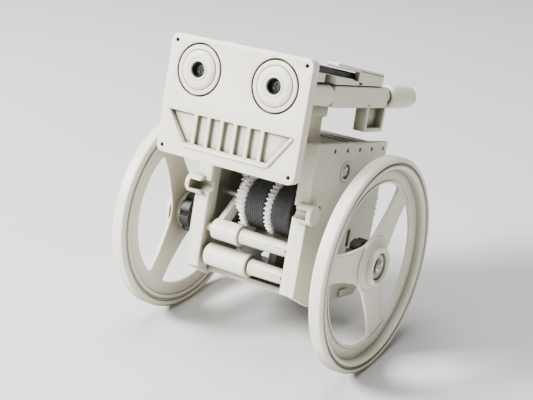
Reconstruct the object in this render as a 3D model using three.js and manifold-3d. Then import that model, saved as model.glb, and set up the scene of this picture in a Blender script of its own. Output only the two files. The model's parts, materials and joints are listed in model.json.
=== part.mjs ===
// A two-wheeled solar robot: a gearbox body that leans back between two spoked wheels and
// trails a skid, with a face plate and a solar panel on two rails above it.
// Millimetres. +X is to the right when the robot is seen from the front, +Y points to its back
// and +Z up. Left and right in names are as seen from the front. Inside the leaning body the
// same letters are used, counted from the foot of the front posts.

import * as THREE from 'three';
import { mergeVertices } from 'three/addons/utils/BufferGeometryUtils.js';
import Module from 'manifold-3d';

const wasm = await Module();
wasm.setup();

// ---------------------------------------------------------------- driving dimensions

const GAP = 0.3; // air between pieces that touch, and around a shaft in its bore
const SINK = 0.5; // how far two shapes of one piece run into each other
const PAST = 1; // how far a cutting shape runs past the face that it opens
const LEAN = THREE.MathUtils.degToRad(15);
const RIGHT = 1;
const LEFT = -1;

// Body shell
const HALF_WIDTH = 21.8;
const WALL = 2.2;
const BODY_DEPTH = 48;
const BODY_HEIGHT = 50;
const KEEL = 4.5; // the side walls hang this far below the front posts
const TOE_Y = 11;
const HEEL = 5; // chamfer between the keel and the back
const POST_WIDTH = 5.5;
const POST_DEPTH = 5.5;
const DECK_DROP = 1.2; // deck surface below the rim of the side walls
const KEEL_RIM = 1.2; // the bottom plate sits this far above the keel's edge
const CASE_SCREW_Y = 20.4;
const SCREW_BOSS = { depth: 10, length: 8, width: 2.4, screwUp: 4 };
const TAB = { length: 5, reach: 1.3 }; // snap tabs of the bottom plate and rear cover
const PLATE_TABS_Y = [17, 33];
const COVER_TABS_Z = [12, 34];
const COVER_LIFT = 2; // lower edge of the rear cover above the heel
const VENT = { from: 29.8, to: 32, bottom: 14, top: 20 };
const COVER_SLOTS = { count: 4, half: 8, first: 12, pitch: 6, height: 2 };

// Rod sockets across the front posts
const SOCKET = { y: 0.2, z: 27.7, radius: 3.3, bore: 2, proud: 2.7, slot: 3.2, endWall: 3.6 };

// Wheels and their axle
const WHEEL_R = 36;
const RIM_WIDTH = 5;
const RIM_HEIGHT = 4;
const RIM_GROOVE = 0.6;
const RIM_EDGE = 0.6;
const WEB_RING = 5;
const WEB_THICK = 2;
const SPOKES = 3;
const SPOKE_AT_HUB = 10.5;
const SPOKE_AT_RIM = 7;
const SPOKE_FILLET = 4;
const SPOKE_ROOT = { length: 2, flare: 1.5 };
const WINDOW_CLEAR = 2.5; // hub to the inner edge of an opening between the spokes
const HUB_R = 6.5;
const HUB_LENGTH = 6.3;
const HUB_PROUD = 0.5; // hub face beyond the rim
const HUB_STANDOFF = 13.4; // side wall to the hub's inner face
const HUB_CAP = { radius: 4.1, thick: 0.8, depth: 2.4, floor: 1.2 };
const HUB_SKIRT = { over: 2.2, under: 0.5, height: 1.6 }; // foot and top against the hub's radius
const SPOKE_TURN = { right: THREE.MathUtils.degToRad(57), left: THREE.MathUtils.degToRad(2) };
const AXLE_R = 1.6;
const AXLE_AT = new THREE.Vector3(0, 18.4, 13.6);
const BUSH = { radius: 7.6, length: 4, notches: 8, notch: 1.6 };

// Gear train: every gear has the same module
const MODULE = 0.5;
const ADDENDUM = 0.9;
const DEDENDUM = 1.2;
const BACKLASH = 0.18;
const FLANK = Math.tan(THREE.MathUtils.degToRad(20));
const OUTPUT_TEETH = 40;
const ROLLER_PINION_TEETH = 20;
const ROLLER_TEETH = 36;
const IDLER_PINION_TEETH = 12;
const IDLER_TEETH = 40;
const MOTOR_TEETH = 10;
const SHAFT_R = 1;
const ROLLER_DIRECTION = THREE.MathUtils.degToRad(126);
const IDLER_DIRECTION = THREE.MathUtils.degToRad(26);
const MOTOR_DIRECTION = THREE.MathUtils.degToRad(-20);

// Where each turning piece starts along X, and how wide it is
const ARM_X = { from: -13.4, width: 2.1 };
const IDLER_GEAR_X = { from: -11, width: 2.2 };
const OUTPUT_GEAR_X = { from: -8.4, width: 2.2 };
const ROLLER_PINION_X = { from: -8.4, width: 2.3 };
const IDLER_PINION_X = { from: -8.4, width: 6.3 };
const MOTOR_PINION_X = { from: -11.4, width: 3 };
const ROLLER_GEAR_X = { from: -4.4, width: 2 };
const INNER_ROLLER_X = { from: -2.1, width: 7.3 };
const FLANGE_GEAR_X = { from: 5.5, width: 2.3 };
const OUTER_ROLLER_X = { from: 8.1, width: 6.9 };
const ROLLER_R = 9;

// Cross tubes between the posts, and the arm that carries the idler
const TUBE_Y = 3.2;
const LOWER_TUBE = { z: 5, sleeve: 3.8, rod: 2.8, from: -14.5, joint: 2.5 };
const UPPER_TUBE = { z: 14, sleeve: 3.5, rod: 2.75, joint: -2.5 };
const TUBE_PEG = { radius: 1.5, length: 4, inPost: 3 };
const ARM_HALF = 2.1;
const ARM_EYE = 3.4;

// Motor
const MOTOR_R = 10;
const MOTOR_FLAT = 7.5; // half its width across the flats
const MOTOR_LENGTH = 20;
const MOTOR_FROM = -4.7;
const MOTOR_NOSE = { radius: 3, length: 1.5 };
const MOTOR_BORE = 3; // how far the shaft's bore runs into the can
const MOTOR_CAP = { thick: 3, inset: 0.4 };
const TERMINAL = { half: 1, thick: 0.5, height: 3, sunk: 2 };
const CRADLE = { base: 1.5, rib: 3, first: -3, second: 10.5, lip: 1.4, belowShaft: 2 };

// Solar panel holder
const STUB = { x: 12, y: 11, radius: 2.6, height: 12.4, peg: 1.8, pegLength: 3.6 };
const STUB_COLLAR = { radius: 3.9, height: 3.5 };
const BRIDGE = { length: 10, thick: 6 };
const RAIL_X = 18.4;
const RAIL_R = 3.65;
const RAIL_HALF = 3.55;
const RAIL_FRONT = -15.4;
const RAIL_TUBE_LENGTH = 19.4;
const RAIL_BLOCK_END = 41.5;
const FACE_PIN = { radius: 1.9, inFace: 1.4, inRail: 6.5 };
const BRIDGE_PEG = { radius: 1.4, length: 3 };
const LUG = { width: 4.4, length: 14, drop: 8 };
const NECK = { radius: 2.2, length: 8.5 };
const KNOB = { radius: 4.1, length: 21.2, edge: 0.6, standOff: 4 };
// Places along a knob and its radii there, as shares of its length and radius
const KNOB_NOSE = [[0.6, 1], [0.86, 0.92], [0.97, 0.62], [1, 0]];
const PANEL = { length: 50, from: -11, thick: 2.2, overlap: 2.3, slope: 0.08 };
const CLIP = { from: 3, length: 32.5, lip: 1.3, upright: 17.5, lap: 4 };

// Face
const FACE = { width: 52, height: 37.8, thick: 3.8, corner: 2.8, aboveRail: 11.45 };
const DIMPLE = { inset: 2.2, radius: 0.7, depth: 1 };
const EYE = { x: 14, drop: 10, groove: 8.3, grooveWidth: 0.6, seat: 6.2, seatDepth: 2.2, pupil: 2.5 };
const MOUTH = { top: 14, bottom: 4.7, topHalf: 22.4, bottomHalf: 15.4, depth: 1.6, lip: 1.2, proud: 0.7 };
const MOUTH_BARS = { count: 6, width: 1.3, spread: 34.8 };
const EYE_RING = { back: 0.1, crown: 0.7, crownIn: 1.2, peak: 0.9, peakIn: 0.6, lip: 0.5 };
const PUPIL = { slot: 0.3, slotFloor: 0.6, shank: 3 };

// Tail skid and screws
const SKID = { width: 9, from: 31, flange: 15, thick: 2.4, reach: 68, foot: 4, rise: 3.8 };
const GROUND = { width: 36, length: 200, depth: 20 }; // trims the skid's sole level
const SKID_TIP = { past: 0.8, drop: 1.4, back: 1 };
const SKID_SCREW_Y = SKID.from + SKID.flange / 2 - 2;
const SCREW = { head: 2.2, headThick: 0.9, shank: 0.8, length: 5, slotDepth: 0.4, slotHalf: 0.35 };
const SCREW_SEAT = 0.1; // a sunk head stays this clear of its recess, and laps its shank

const WHEEL_ROUND = 48; // flats round a rim
const CURVE_STEPS = 8; // steps along one side of an opening between spokes
const SKETCH_CURVE = 6; // steps along an arc of a sketch

// Flats round a turned piece: more as it gets larger.
function sides(radius) {
  return 2 * Math.round(4 + 1.1 * radius);
}

// ---------------------------------------------------------------- materials

function finish(color, roughness, metalness = 0) {
  return new THREE.MeshStandardMaterial({ color, roughness, metalness });
}

const IVORY = finish(0xe4e2d6, 0.45);
const WHITE = finish(0xf4f4f0, 0.4);
const RUBBER = finish(0x44454a, 0.85);
const CHARCOAL = finish(0x3c3c40, 0.6);
const STEEL = finish(0xb4b6ba, 0.3, 0.9);
const BRASS = finish(0xc9a24c, 0.35, 0.9);
const SOLAR = finish(0x20244e, 0.2);

// ---------------------------------------------------------------- solids from sketches

// Merges the corners, drops triangles with no area and makes the faces point outwards.
function toSolid(geometry) {
  const bare = new THREE.BufferGeometry();
  bare.setAttribute('position', geometry.getAttribute('position').clone());
  bare.setIndex(geometry.index ? geometry.index.clone() : null);
  const merged = mergeVertices(bare, 1e-4);
  const points = merged.getAttribute('position');
  const [a, b, c] = [new THREE.Vector3(), new THREE.Vector3(), new THREE.Vector3()];
  const kept = [];
  let volume = 0;
  for (let i = 0; i < merged.index.count; i += 3) {
    const corners = [merged.index.getX(i), merged.index.getX(i + 1), merged.index.getX(i + 2)];
    if (new Set(corners).size < 3) continue;
    kept.push(...corners);
    a.fromBufferAttribute(points, corners[0]);
    b.fromBufferAttribute(points, corners[1]);
    c.fromBufferAttribute(points, corners[2]);
    volume += a.dot(b.cross(c));
  }
  if (volume < 0) kept.reverse();
  const mesh = new wasm.Mesh({
    numProp: 3,
    vertProperties: points.array,
    triVerts: new Uint32Array(kept),
  });
  return new wasm.Manifold(mesh);
}

function toGeometry(solid) {
  const mesh = solid.getMesh();
  const geometry = new THREE.BufferGeometry();
  geometry.setAttribute('position', new THREE.BufferAttribute(mesh.vertProperties, 3));
  geometry.setIndex(new THREE.BufferAttribute(mesh.triVerts, 1));
  geometry.computeVertexNormals();
  return geometry;
}

function join(...solids) {
  return solids.reduce((whole, next) => whole.add(next));
}

function cut(solid, ...tools) {
  return tools.reduce((left, tool) => left.subtract(tool), solid);
}

function block(x0, x1, y0, y1, z0, z1) {
  const geometry = new THREE.BoxGeometry(x1 - x0, y1 - y0, z1 - z0);
  geometry.translate((x0 + x1) / 2, (y0 + y1) / 2, (z0 + z1) / 2);
  return toSolid(geometry);
}

function outline(points) {
  return new THREE.Shape(points.map(([u, v]) => new THREE.Vector2(u, v)));
}

// The two ends of a span along X, on the right or mirrored to the left.
function onSide(side, near, far) {
  return side === RIGHT ? [near, far] : [-far, -near];
}

// A sketch drawn in Y and Z, made solid from x = from to x = to.
const SKETCH_TO_SIDE = new THREE.Matrix4().set(0, 0, 1, 0, 1, 0, 0, 0, 0, 1, 0, 0, 0, 0, 0, 1);
function sidePlate(sketch, from, to) {
  const geometry = new THREE.ExtrudeGeometry(sketch, {
    depth: to - from, bevelEnabled: false, curveSegments: SKETCH_CURVE,
  });
  geometry.applyMatrix4(SKETCH_TO_SIDE);
  geometry.translate(from, 0, 0);
  return toSolid(geometry);
}

// A sketch drawn in X and Z, made solid from y = front to y = back.
function facePlate(sketch, front, back) {
  const geometry = new THREE.ExtrudeGeometry(sketch, {
    depth: back - front, bevelEnabled: false, curveSegments: SKETCH_CURVE,
  });
  geometry.rotateX(Math.PI / 2);
  geometry.translate(0, back, 0);
  return toSolid(geometry);
}

const widest = (profile) => Math.max(...profile.map(([, radius]) => radius));

// A closed profile of [place along the axis, radius] points, turned about Y or X.
function turnedY(profile, segments = sides(widest(profile))) {
  const ring = [...profile, profile[0]].map(([along, radius]) => new THREE.Vector2(radius, along));
  return toSolid(new THREE.LatheGeometry(ring, segments));
}

function turnedX(profile, segments = sides(widest(profile))) {
  const ring = [...profile, profile[0]].map(([along, radius]) => new THREE.Vector2(radius, along));
  const geometry = new THREE.LatheGeometry(ring, segments);
  geometry.rotateZ(-Math.PI / 2);
  return toSolid(geometry);
}

function rodX(radius, from, to, y = 0, z = 0, segments = sides(radius)) {
  const geometry = new THREE.CylinderGeometry(radius, radius, to - from, segments);
  geometry.rotateZ(Math.PI / 2);
  geometry.translate((from + to) / 2, y, z);
  return toSolid(geometry);
}

function rodY(radius, from, to, x = 0, z = 0, segments = sides(radius)) {
  const geometry = new THREE.CylinderGeometry(radius, radius, to - from, segments);
  geometry.translate(x, (from + to) / 2, z);
  return toSolid(geometry);
}

function rodZ(radius, from, to, x = 0, y = 0, segments = sides(radius)) {
  const geometry = new THREE.CylinderGeometry(radius, radius, to - from, segments);
  geometry.rotateX(Math.PI / 2);
  geometry.translate(x, y, (from + to) / 2);
  return toSolid(geometry);
}

function addPart(group, name, solid, material) {
  const mesh = new THREE.Mesh(toGeometry(solid), material);
  mesh.name = name;
  group.add(mesh);
  return mesh;
}

// ---------------------------------------------------------------- places worked out

const pitchRadius = (teeth) => (teeth * MODULE) / 2;

function shaftBeside(at, teeth, otherTeeth, direction) {
  const distance = pitchRadius(teeth) + pitchRadius(otherTeeth);
  const y = at.y + distance * Math.cos(direction);
  const z = at.z + distance * Math.sin(direction);
  return new THREE.Vector3(0, y, z);
}

const ROLLER_AT = shaftBeside(AXLE_AT, OUTPUT_TEETH, ROLLER_PINION_TEETH, ROLLER_DIRECTION);
const IDLER_AT = shaftBeside(ROLLER_AT, ROLLER_TEETH, IDLER_PINION_TEETH, IDLER_DIRECTION);
const MOTOR_AT = shaftBeside(IDLER_AT, IDLER_TEETH, MOTOR_TEETH, MOTOR_DIRECTION);

const INSIDE = HALF_WIDTH - WALL; // inner face of a side wall
const FILL = INSIDE - GAP; // half width of what fits between the walls
const POST_IN = HALF_WIDTH - POST_WIDTH; // inner face of a front post
const TUBE_END = POST_IN - GAP;
const DECK_TOP = BODY_HEIGHT - DECK_DROP;
const DECK_UNDER = DECK_TOP - WALL;
const PLATE_UNDER = KEEL_RIM - KEEL;
const PLATE_TOP = PLATE_UNDER + WALL;
const HEEL_Y = BODY_DEPTH - HEEL;
const BACK_FRONT = BODY_DEPTH - GAP - WALL;

const HUB_IN = HALF_WIDTH + HUB_STANDOFF;
const HUB_OUT = HUB_IN + HUB_LENGTH;
const RIM_IN = HUB_OUT - HUB_PROUD - RIM_WIDTH;
const HUB_SEAT = HUB_OUT - HUB_CAP.depth; // floor of the recess in the hub's face
const AXLE_END = HUB_SEAT - HUB_CAP.floor - GAP;

const BRIDGE_UNDER = DECK_TOP + STUB.height + GAP;
const RAIL_Z = BRIDGE_UNDER + RAIL_R;
const RAIL_TOP = RAIL_Z + RAIL_HALF;
const BRIDGE_FROM = STUB.y - BRIDGE.length / 2;
const FACE_TOP = RAIL_Z + FACE.aboveRail;
const FACE_BOTTOM = FACE_TOP - FACE.height;
const FACE_BACK = RAIL_FRONT - GAP;
const FACE_FRONT = FACE_BACK - FACE.thick;

// Height of the floor, in the body's own coordinates, below a point this far back.
function floorBelow(y) {
  return AXLE_AT.z + (Math.sin(LEAN) * (y - AXLE_AT.y) - WHEEL_R) / Math.cos(LEAN);
}

// Turn of a gear that meshes with another: a gap of one meets a tooth of the other.
function meshedTurn(turn, teeth, otherTeeth, direction) {
  const toothPlace = ((direction - turn) * teeth) / (2 * Math.PI);
  return direction + Math.PI - (2 * Math.PI * (0.5 - toothPlace)) / otherTeeth;
}

const ROLLER_PINION_TURN = meshedTurn(0, OUTPUT_TEETH, ROLLER_PINION_TEETH, ROLLER_DIRECTION);
const IDLER_PINION_TURN = meshedTurn(0, ROLLER_TEETH, IDLER_PINION_TEETH, IDLER_DIRECTION);
const MOTOR_TURN = meshedTurn(0, IDLER_TEETH, MOTOR_TEETH, MOTOR_DIRECTION);

// ---------------------------------------------------------------- body shell

const CASE_SCREW_AT = new THREE.Vector3(0, CASE_SCREW_Y, DECK_UNDER - SCREW_BOSS.depth + SCREW_BOSS.screwUp);

// Snap tabs on one edge of the bottom plate or rear cover, or their slots when grown.
function plateTabs(side, grow = 0) {
  const [x0, x1] = tabSpan(side, grow);
  return PLATE_TABS_Y.map((y) => (
    block(x0, x1, y - grow, y + TAB.length + grow, PLATE_UNDER - grow, PLATE_TOP + grow)
  ));
}

function coverTabs(side, grow = 0) {
  const [x0, x1] = tabSpan(side, grow);
  const back = BACK_FRONT + WALL;
  return COVER_TABS_Z.map((z) => (
    block(x0, x1, BACK_FRONT - grow, back + grow, z - grow, z + TAB.length + grow)
  ));
}

function tabSpan(side, grow) {
  return onSide(side, FILL - SINK, FILL + TAB.reach + grow);
}

function sideWall(side) {
  const profile = outline([
    [0, 0],
    [TOE_Y, -KEEL],
    [HEEL_Y, -KEEL],
    [BODY_DEPTH, HEEL - KEEL],
    [BODY_DEPTH, BODY_HEIGHT],
    [0, BODY_HEIGHT],
  ]);
  const xs = (near, far) => onSide(side, near, far);
  const wall = sidePlate(profile, ...xs(INSIDE, HALF_WIDTH));
  const post = block(...xs(POST_IN, INSIDE + SINK), 0, POST_DEPTH, 0, BODY_HEIGHT);
  const socketEnd = HALF_WIDTH + SOCKET.proud;
  const socket = rodX(SOCKET.radius, ...xs(INSIDE - SINK, socketEnd), SOCKET.y, SOCKET.z);
  const slotFrom = POST_IN - PAST;
  const socketFloor = socketEnd - SOCKET.endWall;
  const boreCut = rodX(SOCKET.bore, ...xs(slotFrom, socketFloor), SOCKET.y, SOCKET.z);
  const slotCut = block(
    ...xs(slotFrom, socketFloor), SOCKET.y - SOCKET.radius - PAST, SOCKET.y,
    SOCKET.z - SOCKET.slot / 2, SOCKET.z + SOCKET.slot / 2,
  );
  const bearings = [
    [AXLE_R, AXLE_AT],
    [SHAFT_R, ROLLER_AT],
    [SHAFT_R, IDLER_AT],
  ].map(([radius, at]) => rodX(radius + GAP, ...xs(INSIDE - PAST, HALF_WIDTH + PAST), at.y, at.z));
  const { y, z } = CASE_SCREW_AT;
  const screwCuts = [
    rodX(SCREW.shank + GAP, ...xs(INSIDE - PAST, HALF_WIDTH + PAST), y, z),
    rodX(SCREW.head + GAP, ...xs(HALF_WIDTH - SCREW.headThick, HALF_WIDTH + PAST), y, z),
  ];
  const slots = [...plateTabs(side, GAP), ...coverTabs(side, GAP)];
  const pegHoles = [LOWER_TUBE, UPPER_TUBE].map((tube) => rodX(
    TUBE_PEG.radius + GAP, ...xs(POST_IN - PAST, POST_IN + TUBE_PEG.inPost), TUBE_Y, tube.z
  ));
  const vent = block(
    ...xs(INSIDE - PAST, HALF_WIDTH + PAST), VENT.from, VENT.to, VENT.bottom, VENT.top,
  );
  const cuts = [boreCut, slotCut, vent, ...pegHoles, ...slots, ...bearings, ...screwCuts];
  return cut(join(wall, post, socket), ...cuts);
}

function topDeck() {
  const { y, z } = CASE_SCREW_AT;
  const half = SCREW_BOSS.length / 2;
  const bossUnder = DECK_UNDER - SCREW_BOSS.depth;
  const plate = block(-FILL, FILL, POST_DEPTH + GAP, BODY_DEPTH - GAP, DECK_UNDER, DECK_TOP);
  const stubTop = DECK_TOP + STUB.height;
  const fittings = [RIGHT, LEFT].flatMap((side) => [
    block(...onSide(side, FILL - SCREW_BOSS.width, FILL), y - half, y + half, bossUnder, DECK_TOP),
    rodZ(STUB.radius, DECK_UNDER, stubTop, side * STUB.x, STUB.y),
    rodZ(STUB_COLLAR.radius, stubTop - STUB_COLLAR.height, stubTop, side * STUB.x, STUB.y),
    rodZ(STUB.peg, stubTop - SINK, stubTop + STUB.pegLength, side * STUB.x, STUB.y),
  ]);
  const holes = [RIGHT, LEFT].map((side) => (
    rodX(SCREW.shank + GAP, ...onSide(side, FILL - SCREW_BOSS.width - PAST, FILL + PAST), y, z)
  ));
  return cut(join(plate, ...fittings), ...holes);
}

function bottomPlate() {
  const plate = block(-FILL, FILL, TOE_Y, HEEL_Y, PLATE_UNDER, PLATE_TOP);
  const tabs = [RIGHT, LEFT].flatMap((side) => plateTabs(side));
  const skidHole = rodZ(SCREW.shank + GAP, PLATE_UNDER - PAST, PLATE_TOP + PAST, 0, SKID_SCREW_Y);
  return cut(join(plate, ...tabs), skidHole);
}

function rearCover() {
  const under = HEEL - KEEL + COVER_LIFT;
  const plate = block(-FILL, FILL, BACK_FRONT, BACK_FRONT + WALL, under, DECK_UNDER - GAP);
  const tabs = [RIGHT, LEFT].flatMap((side) => coverTabs(side));
  const slots = [];
  for (let row = 0; row < COVER_SLOTS.count; row += 1) {
    const z = COVER_SLOTS.first + COVER_SLOTS.pitch * row;
    const back = BACK_FRONT + WALL + PAST;
    slots.push(block(
      -COVER_SLOTS.half, COVER_SLOTS.half, BACK_FRONT - PAST, back, z, z + COVER_SLOTS.height,
    ));
  }
  return cut(join(plate, ...tabs), ...slots);
}

function caseScrew(side) {
  const headOut = side * HALF_WIDTH;
  const headIn = side * (HALF_WIDTH - SCREW.headThick + SCREW_SEAT);
  const tip = side * (HALF_WIDTH - SCREW.length);
  const head = rodX(SCREW.head, Math.min(headIn, headOut), Math.max(headIn, headOut));
  const shank = rodX(SCREW.shank, Math.min(tip, headIn), Math.max(tip, headIn));
  return join(head, shank);
}

// ---------------------------------------------------------------- cross tubes and idler arm

// Left half: a sleeve with a peg that runs on into the left post.
function sleeve(tube, from) {
  const pegTip = -TUBE_END - TUBE_PEG.inPost;
  const solid = join(
    rodX(tube.sleeve, from, tube.joint - GAP, TUBE_Y, tube.z),
    rodX(TUBE_PEG.radius, pegTip, from + SINK, TUBE_Y, tube.z),
  );
  const bore = rodX(
    TUBE_PEG.radius + GAP, tube.joint - GAP - TUBE_PEG.length - GAP, tube.joint + PAST, TUBE_Y, tube.z
  );
  return cut(solid, bore);
}

// Right half: a rod from the right post, with a peg in the post and one in the sleeve.
function crossRod(tube) {
  const pegFrom = tube.joint - GAP - TUBE_PEG.length;
  const pegTo = TUBE_END + TUBE_PEG.inPost;
  return join(
    rodX(tube.rod, tube.joint, TUBE_END, TUBE_Y, tube.z),
    rodX(TUBE_PEG.radius, pegFrom, pegTo, TUBE_Y, tube.z),
  );
}

// The upper sleeve grows an arm whose eye holds the end of the idler's shaft.
function idlerArm() {
  const { from, width } = ARM_X;
  const foot = new THREE.Vector2(TUBE_Y, UPPER_TUBE.z);
  const eye = new THREE.Vector2(IDLER_AT.y, IDLER_AT.z);
  const across = eye.clone().sub(foot).normalize().rotateAround(new THREE.Vector2(), Math.PI / 2);
  across.multiplyScalar(ARM_HALF);
  const corners = [
    foot.clone().add(across),
    foot.clone().sub(across),
    eye.clone().sub(across),
    eye.clone().add(across),
  ];
  const bar = sidePlate(new THREE.Shape(corners), from, from + width);
  const ring = rodX(ARM_EYE, from, from + width, eye.x, eye.y);
  const boss = rodX(UPPER_TUBE.sleeve, from, from + width, TUBE_Y, UPPER_TUBE.z);
  const tube = sleeve(UPPER_TUBE, from);
  const hole = rodX(SHAFT_R + GAP, from - PAST, from + width + PAST, eye.x, eye.y);
  return cut(join(tube, bar, ring, boss), hole);
}

// ---------------------------------------------------------------- wheels

// Half the width of a spoke at a radius: it tapers outwards and flares into the web ring.
function spokeHalf(radius, inner, outer) {
  const along = (radius - inner) / (outer - inner);
  const plain = THREE.MathUtils.lerp(SPOKE_AT_HUB, SPOKE_AT_RIM, along) / 2;
  const flare = THREE.MathUtils.clamp((radius - outer + SPOKE_FILLET) / SPOKE_FILLET, 0, 1);
  const root = THREE.MathUtils.clamp(1 - (radius - inner) / SPOKE_ROOT.length, 0, 1);
  return plain + SPOKE_FILLET * (1 - Math.sqrt(1 - flare * flare)) + root * root * SPOKE_ROOT.flare;
}

function spokeWindow(direction) {
  const inner = HUB_R + WINDOW_CLEAR;
  const outer = WHEEL_R - RIM_HEIGHT - WEB_RING;
  const steps = CURVE_STEPS;
  const sector = Math.PI / SPOKES;
  const rising = [];
  const falling = [];
  for (let i = 0; i <= steps; i += 1) {
    const radius = inner + (outer - inner) * Math.sin((i / steps) * (Math.PI / 2));
    const half = sector - Math.asin(Math.min(1, spokeHalf(radius, inner, outer) / radius));
    rising.push([radius, direction - half]);
    falling.unshift([radius, direction + half]);
  }
  const arcHalf = direction - rising[steps][1];
  const arc = [];
  for (let i = 1; i < steps; i += 1) {
    arc.push([outer, direction - arcHalf + (2 * arcHalf * i) / steps]);
  }
  const points = [...rising, ...arc, ...falling].map(([radius, angle]) => (
    new THREE.Vector2(radius * Math.cos(angle), radius * Math.sin(angle))
  ));
  return new THREE.Shape(points);
}

// The wheel faces +X, with x = 0 at the inner face of its rim.
function wheel(turn) {
  const rimInside = WHEEL_R - RIM_HEIGHT;
  const groove = WHEEL_R - RIM_HEIGHT / 2;
  const rim = turnedX([
    [0, rimInside],
    [0, WHEEL_R - RIM_EDGE],
    [RIM_EDGE, WHEEL_R],
    [RIM_WIDTH - RIM_EDGE, WHEEL_R],
    [RIM_WIDTH, WHEEL_R - RIM_EDGE],
    [RIM_WIDTH, groove + RIM_GROOVE],
    [RIM_WIDTH - RIM_GROOVE, groove],
    [RIM_WIDTH, groove - RIM_GROOVE],
    [RIM_WIDTH, rimInside + RIM_EDGE],
    [RIM_WIDTH - RIM_EDGE, rimInside],
  ], WHEEL_ROUND);
  const web = rodX(rimInside + SINK, 0, WEB_THICK, 0, 0, WHEEL_ROUND);
  const windows = [];
  for (let i = 0; i < SPOKES; i += 1) {
    const direction = turn + ((2 * i + 1) * Math.PI) / SPOKES;
    windows.push(sidePlate(spokeWindow(direction), -PAST, WEB_THICK + PAST));
  }
  const hubIn = HUB_IN - RIM_IN;
  const hubOut = HUB_OUT - RIM_IN;
  const seat = HUB_SEAT - RIM_IN;
  const hub = rodX(HUB_R, hubIn, hubOut);
  const skirtFoot = HUB_R + HUB_SKIRT.over;
  const skirt = turnedX([
    [WEB_THICK / 2, 0],
    [WEB_THICK / 2, skirtFoot],
    [WEB_THICK, skirtFoot],
    [WEB_THICK + HUB_SKIRT.height, HUB_R - HUB_SKIRT.under],
    [WEB_THICK + HUB_SKIRT.height, 0],
  ]);
  const bore = rodX(AXLE_R + GAP, hubIn - PAST, seat - HUB_CAP.floor);
  const screwHole = rodX(SCREW.shank + GAP, hubIn - PAST, hubOut + PAST);
  const capSeat = rodX(HUB_CAP.radius + GAP, seat, hubOut + PAST);
  return cut(join(cut(join(rim, web), ...windows), hub, skirt), bore, screwHole, capSeat);
}

function hubCap() {
  const disc = rodX(HUB_CAP.radius, 0, HUB_CAP.thick);
  return cut(disc, rodX(SCREW.shank + GAP, -PAST, HUB_CAP.thick + PAST));
}

// Screw along X with its head's inner face at x = 0.
function hubScrew() {
  const head = cut(
    rodX(SCREW.head, 0, SCREW.headThick),
    block(
      SCREW.headThick - SCREW.slotDepth, SCREW.headThick + PAST,
      -SCREW.head, SCREW.head, -SCREW.slotHalf, SCREW.slotHalf,
    ),
  );
  return join(head, rodX(SCREW.shank, -SCREW.length, SCREW_SEAT));
}

function axle() {
  const hole = SCREW.shank + GAP;
  const pilot = SCREW.length + GAP;
  return cut(
    rodX(AXLE_R, -AXLE_END, AXLE_END),
    rodX(hole, AXLE_END - pilot, AXLE_END + PAST),
    rodX(hole, -AXLE_END - PAST, -AXLE_END + pilot),
  );
}

function driveBush(from) {
  const to = from + BUSH.length;
  const notches = [];
  for (let i = 0; i < BUSH.notches; i += 1) {
    const angle = (2 * Math.PI * i) / BUSH.notches;
    const y = BUSH.radius * Math.cos(angle);
    const z = BUSH.radius * Math.sin(angle);
    notches.push(rodX(BUSH.notch, from - PAST, to + PAST, y, z));
  }
  return cut(rodX(BUSH.radius, from, to), rodX(AXLE_R + GAP, from - PAST, to + PAST), ...notches);
}

// ---------------------------------------------------------------- gears and rollers

function gear(teeth, width, bore, turn) {
  const pitch = pitchRadius(teeth);
  const tip = pitch + ADDENDUM * MODULE;
  const root = pitch - DEDENDUM * MODULE;
  const pitchHalf = (Math.PI * MODULE) / 4 - BACKLASH / 2;
  const tipHalf = (pitchHalf - ADDENDUM * MODULE * FLANK) / tip;
  const rootHalf = (pitchHalf + DEDENDUM * MODULE * FLANK) / root;
  const points = [];
  for (let i = 0; i < teeth; i += 1) {
    const middle = turn + (2 * Math.PI * i) / teeth;
    const corners = [[root, -rootHalf], [tip, -tipHalf], [tip, tipHalf], [root, rootHalf]];
    for (const [radius, offset] of corners) {
      const angle = middle + offset;
      points.push(new THREE.Vector2(radius * Math.cos(angle), radius * Math.sin(angle)));
    }
  }
  const sketch = new THREE.Shape(points);
  const hole = new THREE.Path();
  hole.absarc(0, 0, bore, 0, 2 * Math.PI, true);
  sketch.holes.push(hole);
  return sidePlate(sketch, 0, width);
}

function addGear(group, name, place, teeth, bore, turn, material) {
  const mesh = addPart(group, name, gear(teeth, place.width, bore, turn), material);
  mesh.position.x = place.from;
}

function roller(width) {
  return cut(rodX(ROLLER_R, 0, width), rodX(SHAFT_R + GAP, -PAST, width + PAST));
}

// ---------------------------------------------------------------- motor

// Outline of the motor's can in Y and Z about its shaft, grown by some air.
function motorOutline(grow = 0) {
  const radius = MOTOR_R + grow;
  const flat = MOTOR_FLAT + grow;
  const corner = Math.acos(flat / radius);
  const sketch = new THREE.Shape();
  sketch.absarc(0, 0, radius, corner, Math.PI - corner, false);
  sketch.absarc(0, 0, radius, Math.PI + corner, 2 * Math.PI - corner, false);
  sketch.closePath();
  return sketch;
}

function motorCan() {
  const can = sidePlate(motorOutline(), MOTOR_FROM, MOTOR_FROM + MOTOR_LENGTH);
  const nose = rodX(MOTOR_NOSE.radius, MOTOR_FROM - MOTOR_NOSE.length, MOTOR_FROM + SINK);
  const bore = rodX(SHAFT_R + GAP, MOTOR_FROM - MOTOR_NOSE.length - PAST, MOTOR_FROM + MOTOR_BORE);
  return cut(join(can, nose), bore);
}

function motorCap() {
  const from = MOTOR_FROM + MOTOR_LENGTH + GAP;
  const middle = from + MOTOR_CAP.thick / 2;
  const slotHalf = TERMINAL.thick / 2 + GAP;
  const slots = [RIGHT, LEFT].map((side) => block(
    middle - slotHalf, middle + slotHalf, -TERMINAL.half - GAP, TERMINAL.half + GAP,
    ...onSide(side, MOTOR_R - TERMINAL.sunk, MOTOR_R + PAST),
  ));
  return cut(sidePlate(motorOutline(-MOTOR_CAP.inset), from, from + MOTOR_CAP.thick), ...slots);
}

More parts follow.
